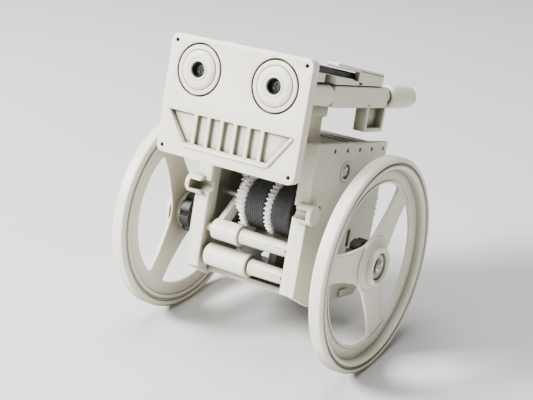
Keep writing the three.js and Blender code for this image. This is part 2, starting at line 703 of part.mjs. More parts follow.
function motorTerminal(side) {
  const middle = MOTOR_FROM + MOTOR_LENGTH + GAP + MOTOR_CAP.thick / 2;
  const inner = MOTOR_R - TERMINAL.sunk + GAP;
  return block(
    middle - TERMINAL.thick / 2, middle + TERMINAL.thick / 2, -TERMINAL.half, TERMINAL.half,
    ...onSide(side, inner, inner + TERMINAL.height),
  );
}

// Base pad with two ribs whose saddles hold the can.
function motorCradle() {
  const under = PLATE_TOP + GAP;
  const front = MOTOR_AT.y - MOTOR_FLAT - GAP - CRADLE.lip;
  const back = MOTOR_AT.y + MOTOR_FLAT + GAP + CRADLE.lip;
  const from = CRADLE.first;
  const to = CRADLE.second + CRADLE.rib;
  const pad = block(from, to, front, back, under, under + CRADLE.base);
  const ribs = [CRADLE.first, CRADLE.second].map((x) => (
    block(x, x + CRADLE.rib, front, back, under, MOTOR_AT.z - CRADLE.belowShaft)
  ));
  const can = sidePlate(motorOutline(GAP), from - PAST, to + PAST);
  const seated = can.translate([0, MOTOR_AT.y, MOTOR_AT.z]);
  return cut(join(pad, ...ribs), seated);
}

// ---------------------------------------------------------------- solar panel and its holder

function bridge() {
  const half = RAIL_X - RAIL_HALF - GAP;
  const top = BRIDGE_UNDER + BRIDGE.thick;
  const bar = block(-half, half, BRIDGE_FROM, BRIDGE_FROM + BRIDGE.length, BRIDGE_UNDER, top);
  const pegTip = half + GAP + BRIDGE_PEG.length;
  const pegs = [RIGHT, LEFT].map((side) => (
    rodX(BRIDGE_PEG.radius, ...onSide(side, half - SINK, pegTip), STUB.y, RAIL_Z)
  ));
  const holes = [RIGHT, LEFT].map((side) => (
    rodZ(STUB.peg + GAP, BRIDGE_UNDER - PAST, BRIDGE_UNDER + STUB.pegLength, side * STUB.x, STUB.y)
  ));
  return cut(join(bar, ...pegs), ...holes);
}

function rail(side) {
  const x = side * RAIL_X;
  const tubeEnd = RAIL_FRONT + RAIL_TUBE_LENGTH;
  const tube = rodY(RAIL_R, RAIL_FRONT, tubeEnd, x, RAIL_Z);
  const bar = block(
    x - RAIL_HALF, x + RAIL_HALF, tubeEnd - SINK, RAIL_BLOCK_END, RAIL_Z - RAIL_HALF, RAIL_TOP,
  );
  const neck = rodY(NECK.radius, RAIL_BLOCK_END - SINK, RAIL_BLOCK_END + NECK.length, x, RAIL_Z);
  const outer = RAIL_X + RAIL_HALF;
  const lug = block(
    ...onSide(side, outer - LUG.width, outer), RAIL_BLOCK_END - LUG.length, RAIL_BLOCK_END,
    RAIL_Z - RAIL_HALF - LUG.drop, RAIL_Z,
  );
  const socket = rodY(
    FACE_PIN.radius + GAP, RAIL_FRONT - PAST, RAIL_FRONT + FACE_PIN.inRail + GAP, x, RAIL_Z,
  );
  const inner = RAIL_X - RAIL_HALF;
  const pegHole = rodX(
    BRIDGE_PEG.radius + GAP, ...onSide(side, inner - PAST, inner + BRIDGE_PEG.length + GAP),
    STUB.y, RAIL_Z,
  );
  return cut(join(tube, bar, neck, lug), socket, pegHole);
}

// Knob pushed over the rail's neck, with y = 0 at its front face.
function railKnob() {
  const bore = NECK.radius + GAP;
  const boreDepth = NECK.length - KNOB.standOff + GAP;
  return turnedY([
    [0, bore],
    [0, KNOB.radius - KNOB.edge],
    [KNOB.edge, KNOB.radius],
    ...KNOB_NOSE.map(([along, share]) => [KNOB.length * along, KNOB.radius * share]),
    [boreDepth, 0],
    [boreDepth, bore],
  ]);
}

// Height of the panel's underside. It lies on the rails at its back and rises to the front.
function panelUnder(y) {
  return RAIL_TOP + GAP + PANEL.slope * (PANEL.from + PANEL.length - y);
}

function solarPanel() {
  const half = RAIL_X + RAIL_HALF - PANEL.overlap;
  const back = PANEL.from + PANEL.length;
  const sketch = outline([
    [PANEL.from, panelUnder(PANEL.from)],
    [back, panelUnder(back)],
    [back, panelUnder(back) + PANEL.thick],
    [PANEL.from, panelUnder(PANEL.from) + PANEL.thick],
  ]);
  return sidePlate(sketch, -half, half);
}

// Clip along an edge of the panel: a wedge under it and a strip over it, joined by an upright
// beside it at the back.
function panelClip(side) {
  const panelHalf = RAIL_X + RAIL_HALF - PANEL.overlap;
  const inner = panelHalf + GAP;
  const outer = RAIL_X + RAIL_HALF;
  const seat = RAIL_TOP + GAP;
  const end = CLIP.from + CLIP.length;
  const uprightFrom = end - CLIP.upright;
  const wedgeEnd = uprightFrom + CLIP.lap;
  const over = (y) => panelUnder(y) + PANEL.thick + GAP;
  const wedge = outline([
    [CLIP.from, seat],
    [wedgeEnd, seat],
    [wedgeEnd, panelUnder(wedgeEnd) - GAP],
    [CLIP.from, panelUnder(CLIP.from) - GAP],
  ]);
  const upright = outline([
    [uprightFrom, seat],
    [end, seat],
    [end, over(end) + CLIP.lip / 2],
    [uprightFrom, over(uprightFrom) + CLIP.lip / 2],
  ]);
  const strip = outline([
    [CLIP.from, over(CLIP.from)],
    [end, over(end)],
    [end, over(end) + CLIP.lip],
    [CLIP.from, over(CLIP.from) + CLIP.lip],
  ]);
  return join(
    sidePlate(wedge, ...onSide(side, inner - PANEL.overlap, outer)),
    sidePlate(upright, ...onSide(side, inner, outer)),
    sidePlate(strip, ...onSide(side, inner - PANEL.overlap, outer)),
  );
}

// ---------------------------------------------------------------- face

function roundedRectangle(x0, x1, z0, z1, radius) {
  const sketch = new THREE.Shape();
  sketch.absarc(x1 - radius, z1 - radius, radius, 0, Math.PI / 2, false);
  sketch.absarc(x0 + radius, z1 - radius, radius, Math.PI / 2, Math.PI, false);
  sketch.absarc(x0 + radius, z0 + radius, radius, Math.PI, 1.5 * Math.PI, false);
  sketch.absarc(x1 - radius, z0 + radius, radius, 1.5 * Math.PI, 2 * Math.PI, false);
  sketch.closePath();
  return sketch;
}

function mouthSketch(grow) {
  const top = FACE_BOTTOM + MOUTH.top;
  const bottom = FACE_BOTTOM + MOUTH.bottom - grow;
  return outline([
    [-MOUTH.topHalf - grow, top],
    [-MOUTH.bottomHalf - grow / 2, bottom],
    [MOUTH.bottomHalf + grow / 2, bottom],
    [MOUTH.topHalf + grow, top],
  ]);
}

// Upright bars left standing in the mouth's recess.
function mouthBars() {
  const pitch = MOUTH_BARS.spread / (MOUTH_BARS.count + 1);
  const bars = [];
  for (let i = 1; i <= MOUTH_BARS.count; i += 1) {
    const x = i * pitch - MOUTH_BARS.spread / 2;
    bars.push(block(
      x - MOUTH_BARS.width / 2, x + MOUTH_BARS.width / 2, FACE_FRONT - PAST, FACE_BACK,
      FACE_BOTTOM + MOUTH.bottom - PAST, FACE_BOTTOM + MOUTH.top + PAST,
    ));
  }
  return bars;
}

function face() {
  const half = FACE.width / 2;
  const plate = facePlate(
    roundedRectangle(-half, half, FACE_BOTTOM, FACE_TOP, FACE.corner), FACE_FRONT, FACE_BACK,
  );
  const lip = facePlate(mouthSketch(MOUTH.lip), FACE_FRONT - MOUTH.proud, FACE_FRONT + SINK);
  const opening = cut(
    facePlate(mouthSketch(0), FACE_FRONT - PAST, FACE_FRONT + MOUTH.depth), ...mouthBars(),
  );
  const lipOpening = facePlate(mouthSketch(0), FACE_FRONT - PAST, FACE_FRONT);
  const pinHoles = [RIGHT, LEFT].map((side) => (
    rodY(FACE_PIN.radius + GAP, FACE_BACK - FACE_PIN.inFace, FACE_BACK + PAST, side * RAIL_X, RAIL_Z)
  ));
  const eyeZ = FACE_TOP - EYE.drop;
  const cuts = [RIGHT, LEFT].flatMap((side) => {
    const x = side * EYE.x;
    const ring = cut(
      rodY(EYE.groove, FACE_FRONT - PAST, FACE_FRONT + EYE.grooveWidth, x, eyeZ),
      rodY(EYE.groove - EYE.grooveWidth, FACE_FRONT - 2 * PAST, FACE_FRONT + PAST, x, eyeZ),
    );
    const seat = rodY(EYE.seat + GAP, FACE_FRONT - PAST, FACE_FRONT + EYE.seatDepth, x, eyeZ);
    const screwHole = rodY(SCREW.shank + GAP, FACE_FRONT, FACE_BACK + 2 * PAST, x, eyeZ);
    return [ring, seat, screwHole];
  });
  const dimples = [RIGHT, LEFT].flatMap((side) => [FACE_BOTTOM + DIMPLE.inset, FACE_TOP - DIMPLE.inset]
    .map((z) => rodY(
      DIMPLE.radius, FACE_FRONT - PAST, FACE_FRONT + DIMPLE.depth, side * (half - DIMPLE.inset), z
    )));
  return cut(join(plate, lip), opening, lipOpening, ...pinHoles, ...cuts, ...dimples);
}

// Pin that joins the face plate to a rail.
function facePin() {
  return rodY(FACE_PIN.radius, FACE_BACK - FACE_PIN.inFace + GAP, RAIL_FRONT + FACE_PIN.inRail);
}

// Raised ring of an eye, turned about Y with y = 0 at the face's front plane.
function eyeRing() {
  const back = EYE.seatDepth - GAP;
  return turnedY([
    [back, EYE.pupil],
    [-EYE_RING.lip, EYE.pupil],
    [-EYE_RING.peak, EYE.pupil + EYE_RING.peakIn],
    [-EYE_RING.crown, EYE.seat - EYE_RING.crownIn],
    [-EYE_RING.back, EYE.seat],
    [back, EYE.seat],
  ]);
}

function pupilScrew() {
  const back = EYE.seatDepth - GAP;
  const head = rodY(EYE.pupil - GAP, back - SCREW.headThick, back);
  const slotBack = back - PUPIL.slotFloor;
  const slot = block(
    -SCREW.head, SCREW.head, back - SCREW.headThick - PAST, slotBack, -PUPIL.slot, PUPIL.slot,
  );
  const shank = rodY(SCREW.shank, back - SCREW_SEAT, back + PUPIL.shank);
  return join(cut(head, slot), shank);
}

// ---------------------------------------------------------------- tail skid

function tailSkid() {
  const top = PLATE_UNDER - GAP;
  const flangeEnd = SKID.from + SKID.flange;
  const floor = floorBelow(SKID.reach);
  const below = floor - SKID.foot;
  const profile = outline([
    [SKID.from, top],
    [flangeEnd, top],
    [SKID.reach - SKID.foot, floor + SKID.rise],
    [SKID.reach + SKID.foot - SKID_TIP.back, floor + SKID.rise],
    [SKID.reach + SKID.foot + SKID_TIP.past, floor + SKID.rise - SKID_TIP.drop],
    [SKID.reach + SKID.foot, below],
    [SKID.reach - SKID.foot, below],
    [flangeEnd - SKID_TIP.back, top - SKID.thick],
    [SKID.from, top - SKID.thick],
  ]);
  const arm = sidePlate(profile, -SKID.width / 2, SKID.width / 2);
  const ground = new THREE.BoxGeometry(GROUND.width, GROUND.length, GROUND.depth);
  ground.translate(0, 0, -GROUND.depth / 2);
  ground.rotateX(LEAN);
  ground.translate(0, SKID.reach, floor);
  const hole = rodZ(SCREW.shank + GAP, top - SKID.flange, top + PAST, 0, SKID_SCREW_Y);
  return cut(arm, toSolid(ground), hole);
}

// Screw along Z with its head's upper face at z = 0.
function skidScrew() {
  const head = rodZ(SCREW.head, -SCREW.headThick, 0);
  return join(head, rodZ(SCREW.shank, -SCREW_SEAT, SCREW.length));
}

// ---------------------------------------------------------------- assembly

const group = new THREE.Group();
const body = new THREE.Group();
body.rotation.x = -LEAN;
group.add(body);

const SIDES = [{ side: LEFT, word: 'left' }, { side: RIGHT, word: 'right' }];

// Shell
for (const { side, word } of SIDES) {
  addPart(body, `${word}_side_wall`, sideWall(side), IVORY);
  addPart(body, `${word}_case_screw`, caseScrew(side), STEEL).position.copy(CASE_SCREW_AT);
}
addPart(body, 'top_deck', topDeck(), IVORY);
addPart(body, 'bottom_plate', bottomPlate(), IVORY);
addPart(body, 'rear_cover', rearCover(), IVORY);
addPart(body, 'lower_cross_sleeve', sleeve(LOWER_TUBE, LOWER_TUBE.from), IVORY);
addPart(body, 'lower_cross_rod', crossRod(LOWER_TUBE), IVORY);
addPart(body, 'idler_arm', idlerArm(), IVORY);
addPart(body, 'upper_cross_rod', crossRod(UPPER_TUBE), IVORY);
addPart(body, 'tail_skid', tailSkid(), IVORY);
const skidFixing = addPart(body, 'skid_screw', skidScrew(), STEEL);
skidFixing.position.set(0, SKID_SCREW_Y, PLATE_UNDER - SKID.thick - 2 * GAP);

// Wheels on their axle
const wheelSet = new THREE.Group();
wheelSet.position.copy(AXLE_AT);
body.add(wheelSet);
addPart(wheelSet, 'axle', axle(), IVORY);
addGear(wheelSet, 'output_gear', OUTPUT_GEAR_X, OUTPUT_TEETH, AXLE_R + GAP, 0, WHITE);
for (const { side, word } of SIDES) {
  const outward = new THREE.Group();
  outward.rotation.z = side === RIGHT ? 0 : Math.PI;
  wheelSet.add(outward);
  const turn = side === RIGHT ? SPOKE_TURN.right : Math.PI - SPOKE_TURN.left;
  addPart(outward, `${word}_wheel`, wheel(turn), IVORY).position.x = RIM_IN;
  addPart(outward, `${word}_hub_cap`, hubCap(), IVORY).position.x = HUB_SEAT + GAP;
  const screwX = HUB_SEAT + HUB_CAP.thick + 2 * GAP;
  addPart(outward, `${word}_hub_screw`, hubScrew(), STEEL).position.x = screwX;
  addPart(outward, `${word}_drive_bush`, driveBush(HUB_IN - GAP - BUSH.length), CHARCOAL);
}

// Rollers and their shaft
const rollerSet = new THREE.Group();
rollerSet.position.copy(ROLLER_AT);
body.add(rollerSet);
const shaftEnd = HALF_WIDTH - GAP;
addPart(rollerSet, 'roller_shaft', rodX(SHAFT_R, -shaftEnd, shaftEnd), STEEL);
addGear(
  rollerSet, 'roller_pinion', ROLLER_PINION_X, ROLLER_PINION_TEETH, SHAFT_R + GAP,
  ROLLER_PINION_TURN, WHITE,
);
addGear(rollerSet, 'roller_gear', ROLLER_GEAR_X, ROLLER_TEETH, SHAFT_R + GAP, 0, WHITE);
addGear(rollerSet, 'flange_gear', FLANGE_GEAR_X, ROLLER_TEETH, SHAFT_R + GAP, 0, WHITE);
addPart(rollerSet, 'inner_roller', roller(INNER_ROLLER_X.width), RUBBER).position.x = INNER_ROLLER_X.from;
addPart(rollerSet, 'outer_roller', roller(OUTER_ROLLER_X.width), RUBBER).position.x = OUTER_ROLLER_X.from;

// Idler between the motor and the rollers
const idlerSet = new THREE.Group();
idlerSet.position.copy(IDLER_AT);
body.add(idlerSet);
addPart(idlerSet, 'idler_shaft', rodX(SHAFT_R, -shaftEnd, shaftEnd), STEEL);
addGear(idlerSet, 'idler_gear', IDLER_GEAR_X, IDLER_TEETH, SHAFT_R + GAP, 0, WHITE);
addGear(
  idlerSet, 'idler_pinion', IDLER_PINION_X, IDLER_PINION_TEETH, SHAFT_R + GAP,
  IDLER_PINION_TURN, WHITE,
);

// Motor
const motor = new THREE.Group();
motor.position.copy(MOTOR_AT);
body.add(motor);
addPart(motor, 'motor_can', motorCan(), STEEL);
addPart(motor, 'motor_end_cap', motorCap(), CHARCOAL);
addPart(motor, 'upper_motor_terminal', motorTerminal(RIGHT), BRASS);
addPart(motor, 'lower_motor_terminal', motorTerminal(LEFT), BRASS);
const motorShaftEnd = MOTOR_FROM + MOTOR_BORE - GAP;
addPart(
  motor, 'motor_shaft', rodX(SHAFT_R, MOTOR_PINION_X.from - GAP, motorShaftEnd), STEEL,
);
addGear(motor, 'motor_pinion', MOTOR_PINION_X, MOTOR_TEETH, SHAFT_R + GAP, MOTOR_TURN, BRASS);
addPart(body, 'motor_cradle', motorCradle(), IVORY);

// Holder, solar panel and face
addPart(body, 'holder_bridge', bridge(), IVORY);
addPart(body, 'solar_panel', solarPanel(), SOLAR);
addPart(body, 'face_plate', face(), IVORY);
for (const { side, word } of SIDES) {
  addPart(body, `${word}_rail`, rail(side), IVORY);
  addPart(body, `${word}_face_pin`, facePin(), IVORY).position.set(side * RAIL_X, 0, RAIL_Z);
  const knob = addPart(body, `${word}_rail_knob`, railKnob(), IVORY);
  knob.position.set(side * RAIL_X, RAIL_BLOCK_END + KNOB.standOff, RAIL_Z);
  addPart(body, `${word}_panel_clip`, panelClip(side), IVORY);
  const eyeAt = new THREE.Vector3(side * EYE.x, FACE_FRONT, FACE_TOP - EYE.drop);
  addPart(body, `${word}_eye_ring`, eyeRing(), IVORY).position.copy(eyeAt);
  addPart(body, `${word}_pupil_screw`, pupilScrew(), CHARCOAL).position.copy(eyeAt);
}

// Stand it on the floor with the origin under the middle of its box.
group.updateMatrixWorld(true);
const box = new THREE.Box3().setFromObject(group, true);
body.position.y = -(box.min.y + box.max.y) / 2;
body.position.z = -box.min.z;

export default group;
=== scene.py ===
import json
import math

import bmesh
import bpy
from mathutils import Matrix, Vector


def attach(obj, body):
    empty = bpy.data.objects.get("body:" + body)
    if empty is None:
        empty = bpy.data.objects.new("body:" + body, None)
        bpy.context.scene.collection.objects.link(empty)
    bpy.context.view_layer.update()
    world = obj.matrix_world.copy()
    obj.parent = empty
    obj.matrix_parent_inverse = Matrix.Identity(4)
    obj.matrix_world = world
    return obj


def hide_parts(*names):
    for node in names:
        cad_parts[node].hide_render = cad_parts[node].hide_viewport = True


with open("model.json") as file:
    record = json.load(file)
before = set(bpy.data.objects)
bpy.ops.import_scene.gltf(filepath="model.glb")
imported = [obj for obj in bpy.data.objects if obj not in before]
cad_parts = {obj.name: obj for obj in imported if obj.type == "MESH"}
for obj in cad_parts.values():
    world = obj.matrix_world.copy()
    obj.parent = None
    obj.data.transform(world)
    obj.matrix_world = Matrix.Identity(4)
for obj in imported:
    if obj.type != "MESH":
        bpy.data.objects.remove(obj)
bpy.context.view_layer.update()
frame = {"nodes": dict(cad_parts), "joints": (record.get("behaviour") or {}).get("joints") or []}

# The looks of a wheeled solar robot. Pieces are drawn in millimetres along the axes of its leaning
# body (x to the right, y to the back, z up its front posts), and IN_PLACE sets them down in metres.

# ---------------------------------------------------------------- the frame's places

LEAN = math.radians(15)
MILLIMETRE = 0.001
AXLE_IN_BODY = Vector((0, 18.4, 13.6))
WHEEL_RADIUS = 36
SIDES = (("left", -1), ("right", 1))

joint_at = {joint["name"]: Vector(joint["pos_m"]) for joint in frame["joints"]}
IN_PLACE = (
    Matrix.Translation(joint_at["wheel_spin"])
    @ Matrix.Rotation(-LEAN, 4, "X")
    @ Matrix.Scale(MILLIMETRE, 4)
    @ Matrix.Translation(-AXLE_IN_BODY)
)
TO_BODY = IN_PLACE.inverted()


def span(node):
    """Lowest and highest corner of a CAD node along the body's axes, in millimetres."""
    points = [TO_BODY @ vertex.co for vertex in frame["nodes"][node].data.vertices]
    low = Vector([min(point[i] for point in points) for i in range(3)])
    high = Vector([max(point[i] for point in points) for i in range(3)])
    return low, high


def reach_in_x(node, side):
    """Where a CAD node at one side of the robot starts and ends, going outwards."""
    low, high = span(node)
    near, far = sorted((abs(low.x), abs(high.x)))
    return side * near, side * far


def shaft(joint):
    """A joint's place in the body."""
    return TO_BODY @ joint_at[joint]


# ---------------------------------------------------------------- outlines

CORNER_SHARE = 0.45  # the most that a rounded corner takes of the edges beside it
LEAST_CORNER = 0.02
NEARLY_STRAIGHT = 0.995
ON_AXIS = 1e-6
TOOTH_ROOT = 0.6  # a tooth's width as a share of the pitch
TOOTH_TIP = 0.275
TOOTH_EDGE = 0.12


def softened(points, radius, steps=4):
    """Rounds the corners of a closed outline."""
    rounded = []
    count = len(points)
    for i in range(count):
        corner = Vector(points[i])
        before = Vector(points[i - 1])
        after = Vector(points[(i + 1) % count])
        to_before = before - corner
        to_after = after - corner
        reach = min(radius, CORNER_SHARE * to_before.length, CORNER_SHARE * to_after.length)
        straight = abs(to_before.normalized().dot(to_after.normalized()))
        if reach < LEAST_CORNER or straight > NEARLY_STRAIGHT:
            rounded.append(tuple(corner))
            continue
        start = corner + to_before.normalized() * reach
        end = corner + to_after.normalized() * reach
        for k in range(steps + 1):
            t = k / steps
            point = start * (1 - t) ** 2 + corner * 2 * t * (1 - t) + end * t ** 2
            rounded.append(tuple(point))
    return rounded


def soft_profile(points, radius, steps=3):
    """softened() for a lathe profile, which leaves the points on the lathe's axis alone."""
    on_axis = {i for i, point in enumerate(points) if point[1] < ON_AXIS}
    if not on_axis:
        return softened(points, radius, steps)
    kept = []
    count = len(points)
    for i, point in enumerate(points):
        if i in on_axis:
            kept.append(point)
            continue
        trio = [points[i - 1], point, points[(i + 1) % count]]
        kept += softened(trio, radius, steps)[steps + 1:2 * steps + 2]
    return kept


def circle(u, v, radius, steps=48):
    return [
        (u + radius * math.cos(2 * math.pi * i / steps), v + radius * math.sin(2 * math.pi * i / steps))
        for i in range(steps)
    ]


def rectangle(u0, u1, v0, v1, corner=0.0, steps=6):
    points = [(u0, v0), (u1, v0), (u1, v1), (u0, v1)]
    return softened(points, corner, steps) if corner else points


def toothed(centre, teeth, root, tip):
    """Outline of a gear with plain tapered teeth."""
    points = []
    half = math.pi / teeth
    corners = [
        (root, -half * TOOTH_ROOT), (tip, -half * TOOTH_TIP),
        (tip, half * TOOTH_TIP), (root, half * TOOTH_ROOT),
    ]
    for i in range(teeth):
        for radius, offset in corners:
            angle = 2 * math.pi * i / teeth + offset
            points.append((centre[0] + radius * math.cos(angle), centre[1] + radius * math.sin(angle)))
    return softened(points, TOOTH_EDGE, 2)


# ---------------------------------------------------------------- solids

WELD = 1e-4
SMOOTH_ANGLE = math.radians(32)


def add_object(name, data):
    made = bpy.data.objects.new(name, data)
    bpy.context.scene.collection.objects.link(made)
    return made


def as_object(name, bm):
    bmesh.ops.remove_doubles(bm, verts=bm.verts, dist=WELD)
    bmesh.ops.recalc_face_normals(bm, faces=bm.faces)
    mesh = bpy.data.meshes.new(name)
    bm.to_mesh(mesh)
    bm.free()
    return add_object(name, mesh)


def evaluated_mesh(made):
    bpy.context.view_layer.update()
    return bpy.data.meshes.new_from_object(made.evaluated_get(bpy.context.evaluated_depsgraph_get()))


def traced(curve):
    """What a curve draws, as an editable mesh."""
    drawn = add_object("outline", curve)
    mesh = evaluated_mesh(drawn)
    bpy.data.objects.remove(drawn)
    bm = bmesh.new()
    bm.from_mesh(mesh)
    return bm


def lathe(profile, centre=(0, 0, 0), axis="X", steps=96):
    """A closed profile of (place along the axis, radius) points, turned about that axis."""
    bm = bmesh.new()
    rings = []
    for i in range(steps):
        angle = 2 * math.pi * i / steps
        ring = []
        for along, radius in profile:
            across = (radius * math.cos(angle), radius * math.sin(angle))
            place = {
                "X": (along, across[0], across[1]),
                "Y": (across[0], along, across[1]),
                "Z": (across[0], across[1], along),
            }[axis]
            ring.append(bm.verts.new(Vector(place) + Vector(centre)))
        rings.append(ring)
    count = len(profile)
    for i in range(steps):
        one = rings[i]
        two = rings[(i + 1) % steps]
        for k in range(count):
            after = (k + 1) % count
            bm.faces.new((one[k], one[after], two[after], two[k]))
    return as_object("turned", bm)


def rod(radius, start, end, centre=(0, 0, 0), axis="X", edge=0.25, steps=64):
    """A round bar with softened ends."""
    start, end = sorted((start, end))
    profile = [(start, 0), (start, radius), (end, radius), (end, 0)]
    return lathe(soft_profile(profile, edge), centre, axis, steps)


def tube(outer, inner, start, end, centre=(0, 0, 0), axis="X", edge=0.25, steps=64):
    """A round sleeve with softened edges."""
    start, end = sorted((start, end))
    profile = [(start, inner), (start, outer), (end, outer), (end, inner)]
    return lathe(softened(profile, edge, 3), centre, axis, steps)


def plate(loops, start, end, plane="YZ", edge=0.3):
    """A flat piece with rounded edges. The first loop is its outline, and the others are holes
    in it, or islands in a hole. plane names the two axes that the loops are drawn in."""
    start, end = sorted((start, end))
    curve = bpy.data.curves.new("outline", "CURVE")
    curve.dimensions = "2D"
    curve.fill_mode = "BOTH"
    for loop in loops:
        spline = curve.splines.new("POLY")
        spline.points.add(len(loop) - 1)
        for point, (u, v) in zip(spline.points, loop):
            point.co = (u, v, 0, 1)
        spline.use_cyclic_u = True
    curve.extrude = (end - start) / 2 - edge
    curve.bevel_depth = edge
    curve.bevel_resolution = 2
    curve.offset = -edge
    bm = traced(curve)
    middle = (start + end) / 2
    for vertex in bm.verts:
        u, v, w = vertex.co
        vertex.co = {"YZ": (w + middle, u, v), "XZ": (u, w + middle, v)}[plane]
    return as_object("plate", bm)


def slab(corner, opposite, edge, steps=3):
    """A block with rounded edges between two opposite corners, given in either order."""
    bm = bmesh.new()
    bmesh.ops.create_cube(bm, size=1)
    ends = [sorted(pair) for pair in zip(corner, opposite)]
    for vertex in bm.verts:
        vertex.co = [
            (low + high) / 2 + place * (high - low) for place, (low, high) in zip(vertex.co, ends)
        ]
    bmesh.ops.bevel(
        bm, geom=list(bm.edges), offset=edge, segments=steps, profile=0.5, affect="EDGES"
    )
    return as_object("slab", bm)


def ridge(path, radius):
    """A rounded bead along a path of points."""
    curve = bpy.data.curves.new("ridge", "CURVE")
    curve.dimensions = "3D"
    spline = curve.splines.new("POLY")
    spline.points.add(len(path) - 1)
    for point, place in zip(spline.points, path):
        point.co = (*place, 1)
    curve.bevel_depth = radius
    curve.bevel_resolution = 3
    curve.use_fill_caps = True
    return as_object("ridge", traced(curve))


def gathered(*parts):
    """Several shapes as one object."""
    bm = bmesh.new()
    for part in parts:
        bm.from_mesh(part.data)
        bpy.data.objects.remove(part)
    mesh = bpy.data.meshes.new("gathered")
    bm.to_mesh(mesh)
    bm.free()
    return add_object("gathered", mesh)


def with_boolean(base, tool, operation):
    change = base.modifiers.new("shape", "BOOLEAN")
    change.operation = operation
    change.solver = "EXACT"
    change.object = tool
    mesh = evaluated_mesh(base)
    base.modifiers.clear()
    base.data = mesh
    bpy.data.objects.remove(tool)
    return base


def fused(base, *parts):
    for part in parts:
        with_boolean(base, part, "UNION")
    return base


def carved(base, *tools):
    for tool in tools:
        with_boolean(base, tool, "DIFFERENCE")
    return base


def piece(name, made, body, material, slot, *nodes):
    """Sets a shape down in its place as a finished piece of the object."""
    made.name = name
    made.data.name = name
    made.data.transform(IN_PLACE)
    made.data.shade_smooth()
    made.data.set_sharp_from_angle(angle=SMOOTH_ANGLE)
    made.data.materials.clear()
    made.data.materials.append(material)
    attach(made, body)
    if nodes:
        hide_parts(*nodes)


# ---------------------------------------------------------------- materials

RAMP = (0.3, 0.7)  # the part of a texture's range that a ramp is spread over
# Painted shade: how far ambient occlusion looks for creases and for the hollow inside of the body, and the
# occlusion values over which the hollow's painted shade fades out
CREASE_SHADE_REACH = 0.0035
HOLLOW_SHADE_REACH = 0.026
HOLLOW_SHADE_SHUT = 0.2
HOLLOW_SHADE_OPEN = 0.82
OCCLUSION_SAMPLES = 8


def start_material(name, roughness, metallic=0.0):
    made = bpy.data.materials.new(name)
    made.use_nodes = True
    shader = made.node_tree.nodes["Principled BSDF"]
    shader.inputs["Roughness"].default_value = roughness
    shader.inputs["Metallic"].default_value = metallic
    return made, made.node_tree, shader


def noise(tree, scale, detail=3.0, stretch=None):
    place = tree.nodes.new("ShaderNodeTexCoord")
    texture = tree.nodes.new("ShaderNodeTexNoise")
    texture.inputs["Scale"].default_value = scale
    texture.inputs["Detail"].default_value = detail
    if stretch:
        mapping = tree.nodes.new("ShaderNodeMapping")
        mapping.inputs["Scale"].default_value = stretch
        tree.links.new(place.outputs["Object"], mapping.inputs["Vector"])
        tree.links.new(mapping.outputs["Vector"], texture.inputs["Vector"])
    else:
        tree.links.new(place.outputs["Object"], texture.inputs["Vector"])
    return texture.outputs["Fac"]


def blended(tree, factor, first, second):
    """A colour that runs from first to second as factor crosses RAMP."""
    ramp = tree.nodes.new("ShaderNodeValToRGB")
    for element, position, colour in zip(ramp.color_ramp.elements, RAMP, (first, second)):
        element.position = position
        element.color = (*colour, 1)
    tree.links.new(factor, ramp.inputs["Fac"])
    return ramp.outputs["Color"]


def ranged(tree, factor, low, high):
    """A value that runs from low to high as factor crosses RAMP."""
    scaled = tree.nodes.new("ShaderNodeMapRange")
    scaled.inputs["From Min"].default_value = RAMP[0]
    scaled.inputs["From Max"].default_value = RAMP[1]
    scaled.inputs["To Min"].default_value = low
    scaled.inputs["To Max"].default_value = high
    tree.links.new(factor, scaled.inputs["Value"])
    return scaled.outputs["Result"]


def bumped(tree, shader, height, strength, distance):
    bump = tree.nodes.new("ShaderNodeBump")
    bump.inputs["Strength"].default_value = strength
    bump.inputs["Distance"].default_value = distance
    tree.links.new(height, bump.inputs["Height"])
    tree.links.new(bump.outputs["Normal"], shader.inputs["Normal"])


def shaded(tree, colour, shade_tone, distance, closed, opened):
    """Painted shade: colour where a point is open to its surroundings, and the shade tone where ambient
    occlusion finds it shut in.
    """
    around = tree.nodes.new("ShaderNodeAmbientOcclusion")
    around.inputs["Distance"].default_value = distance
    around.samples = OCCLUSION_SAMPLES
    scaled = tree.nodes.new("ShaderNodeMapRange")
    scaled.inputs["From Min"].default_value = closed
    scaled.inputs["From Max"].default_value = opened
    tree.links.new(around.outputs["AO"], scaled.inputs["Value"])
    mix = tree.nodes.new("ShaderNodeMix")
    mix.data_type = "RGBA"
    mix.inputs["A"].default_value = (*shade_tone, 1)
    tree.links.new(scaled.outputs["Result"], mix.inputs["Factor"])
    tree.links.new(colour, mix.inputs["B"])
    return mix.outputs["Result"]


def moulded(name, light, dark, recess, hollow_shade, roughness):
    """Moulded plastic: faint mottling, a fine satin grain, and painted shade in its corners and creases
    and in the hollow inside of the body."""
    made, tree, shader = start_material(name, roughness)
    surface = blended(tree, noise(tree, 130, 4), dark, light)
    # Painted shade: the recess colour darkens creases, and the hollow colour darkens the hollow inside of
    # the body
    crease_shaded = shaded(tree, surface, recess, CREASE_SHADE_REACH, 0.0, 1.0)
    hollow_shaded = shaded(tree, crease_shaded, hollow_shade, HOLLOW_SHADE_REACH, HOLLOW_SHADE_SHUT, HOLLOW_SHADE_OPEN)
    tree.links.new(hollow_shaded, shader.inputs["Base Color"])
    tree.links.new(
        ranged(tree, noise(tree, 420, 3), roughness - 0.05, roughness + 0.07), shader.inputs["Roughness"]
    )
    bumped(tree, shader, noise(tree, 5200, 2), 0.12, 0.00006)
    shader.inputs["Specular IOR Level"].default_value = 0.42
    return made


def rubber(name):
    made, tree, shader = start_material(name, 0.7)
    tree.links.new(
        blended(tree, noise(tree, 260, 5), (0.016, 0.016, 0.017), (0.03, 0.03, 0.031)),
        shader.inputs["Base Color"],
    )
    tree.links.new(ranged(tree, noise(tree, 700, 3), 0.58, 0.78), shader.inputs["Roughness"])
    bumped(tree, shader, noise(tree, 6500, 3), 0.35, 0.00008)
    return made


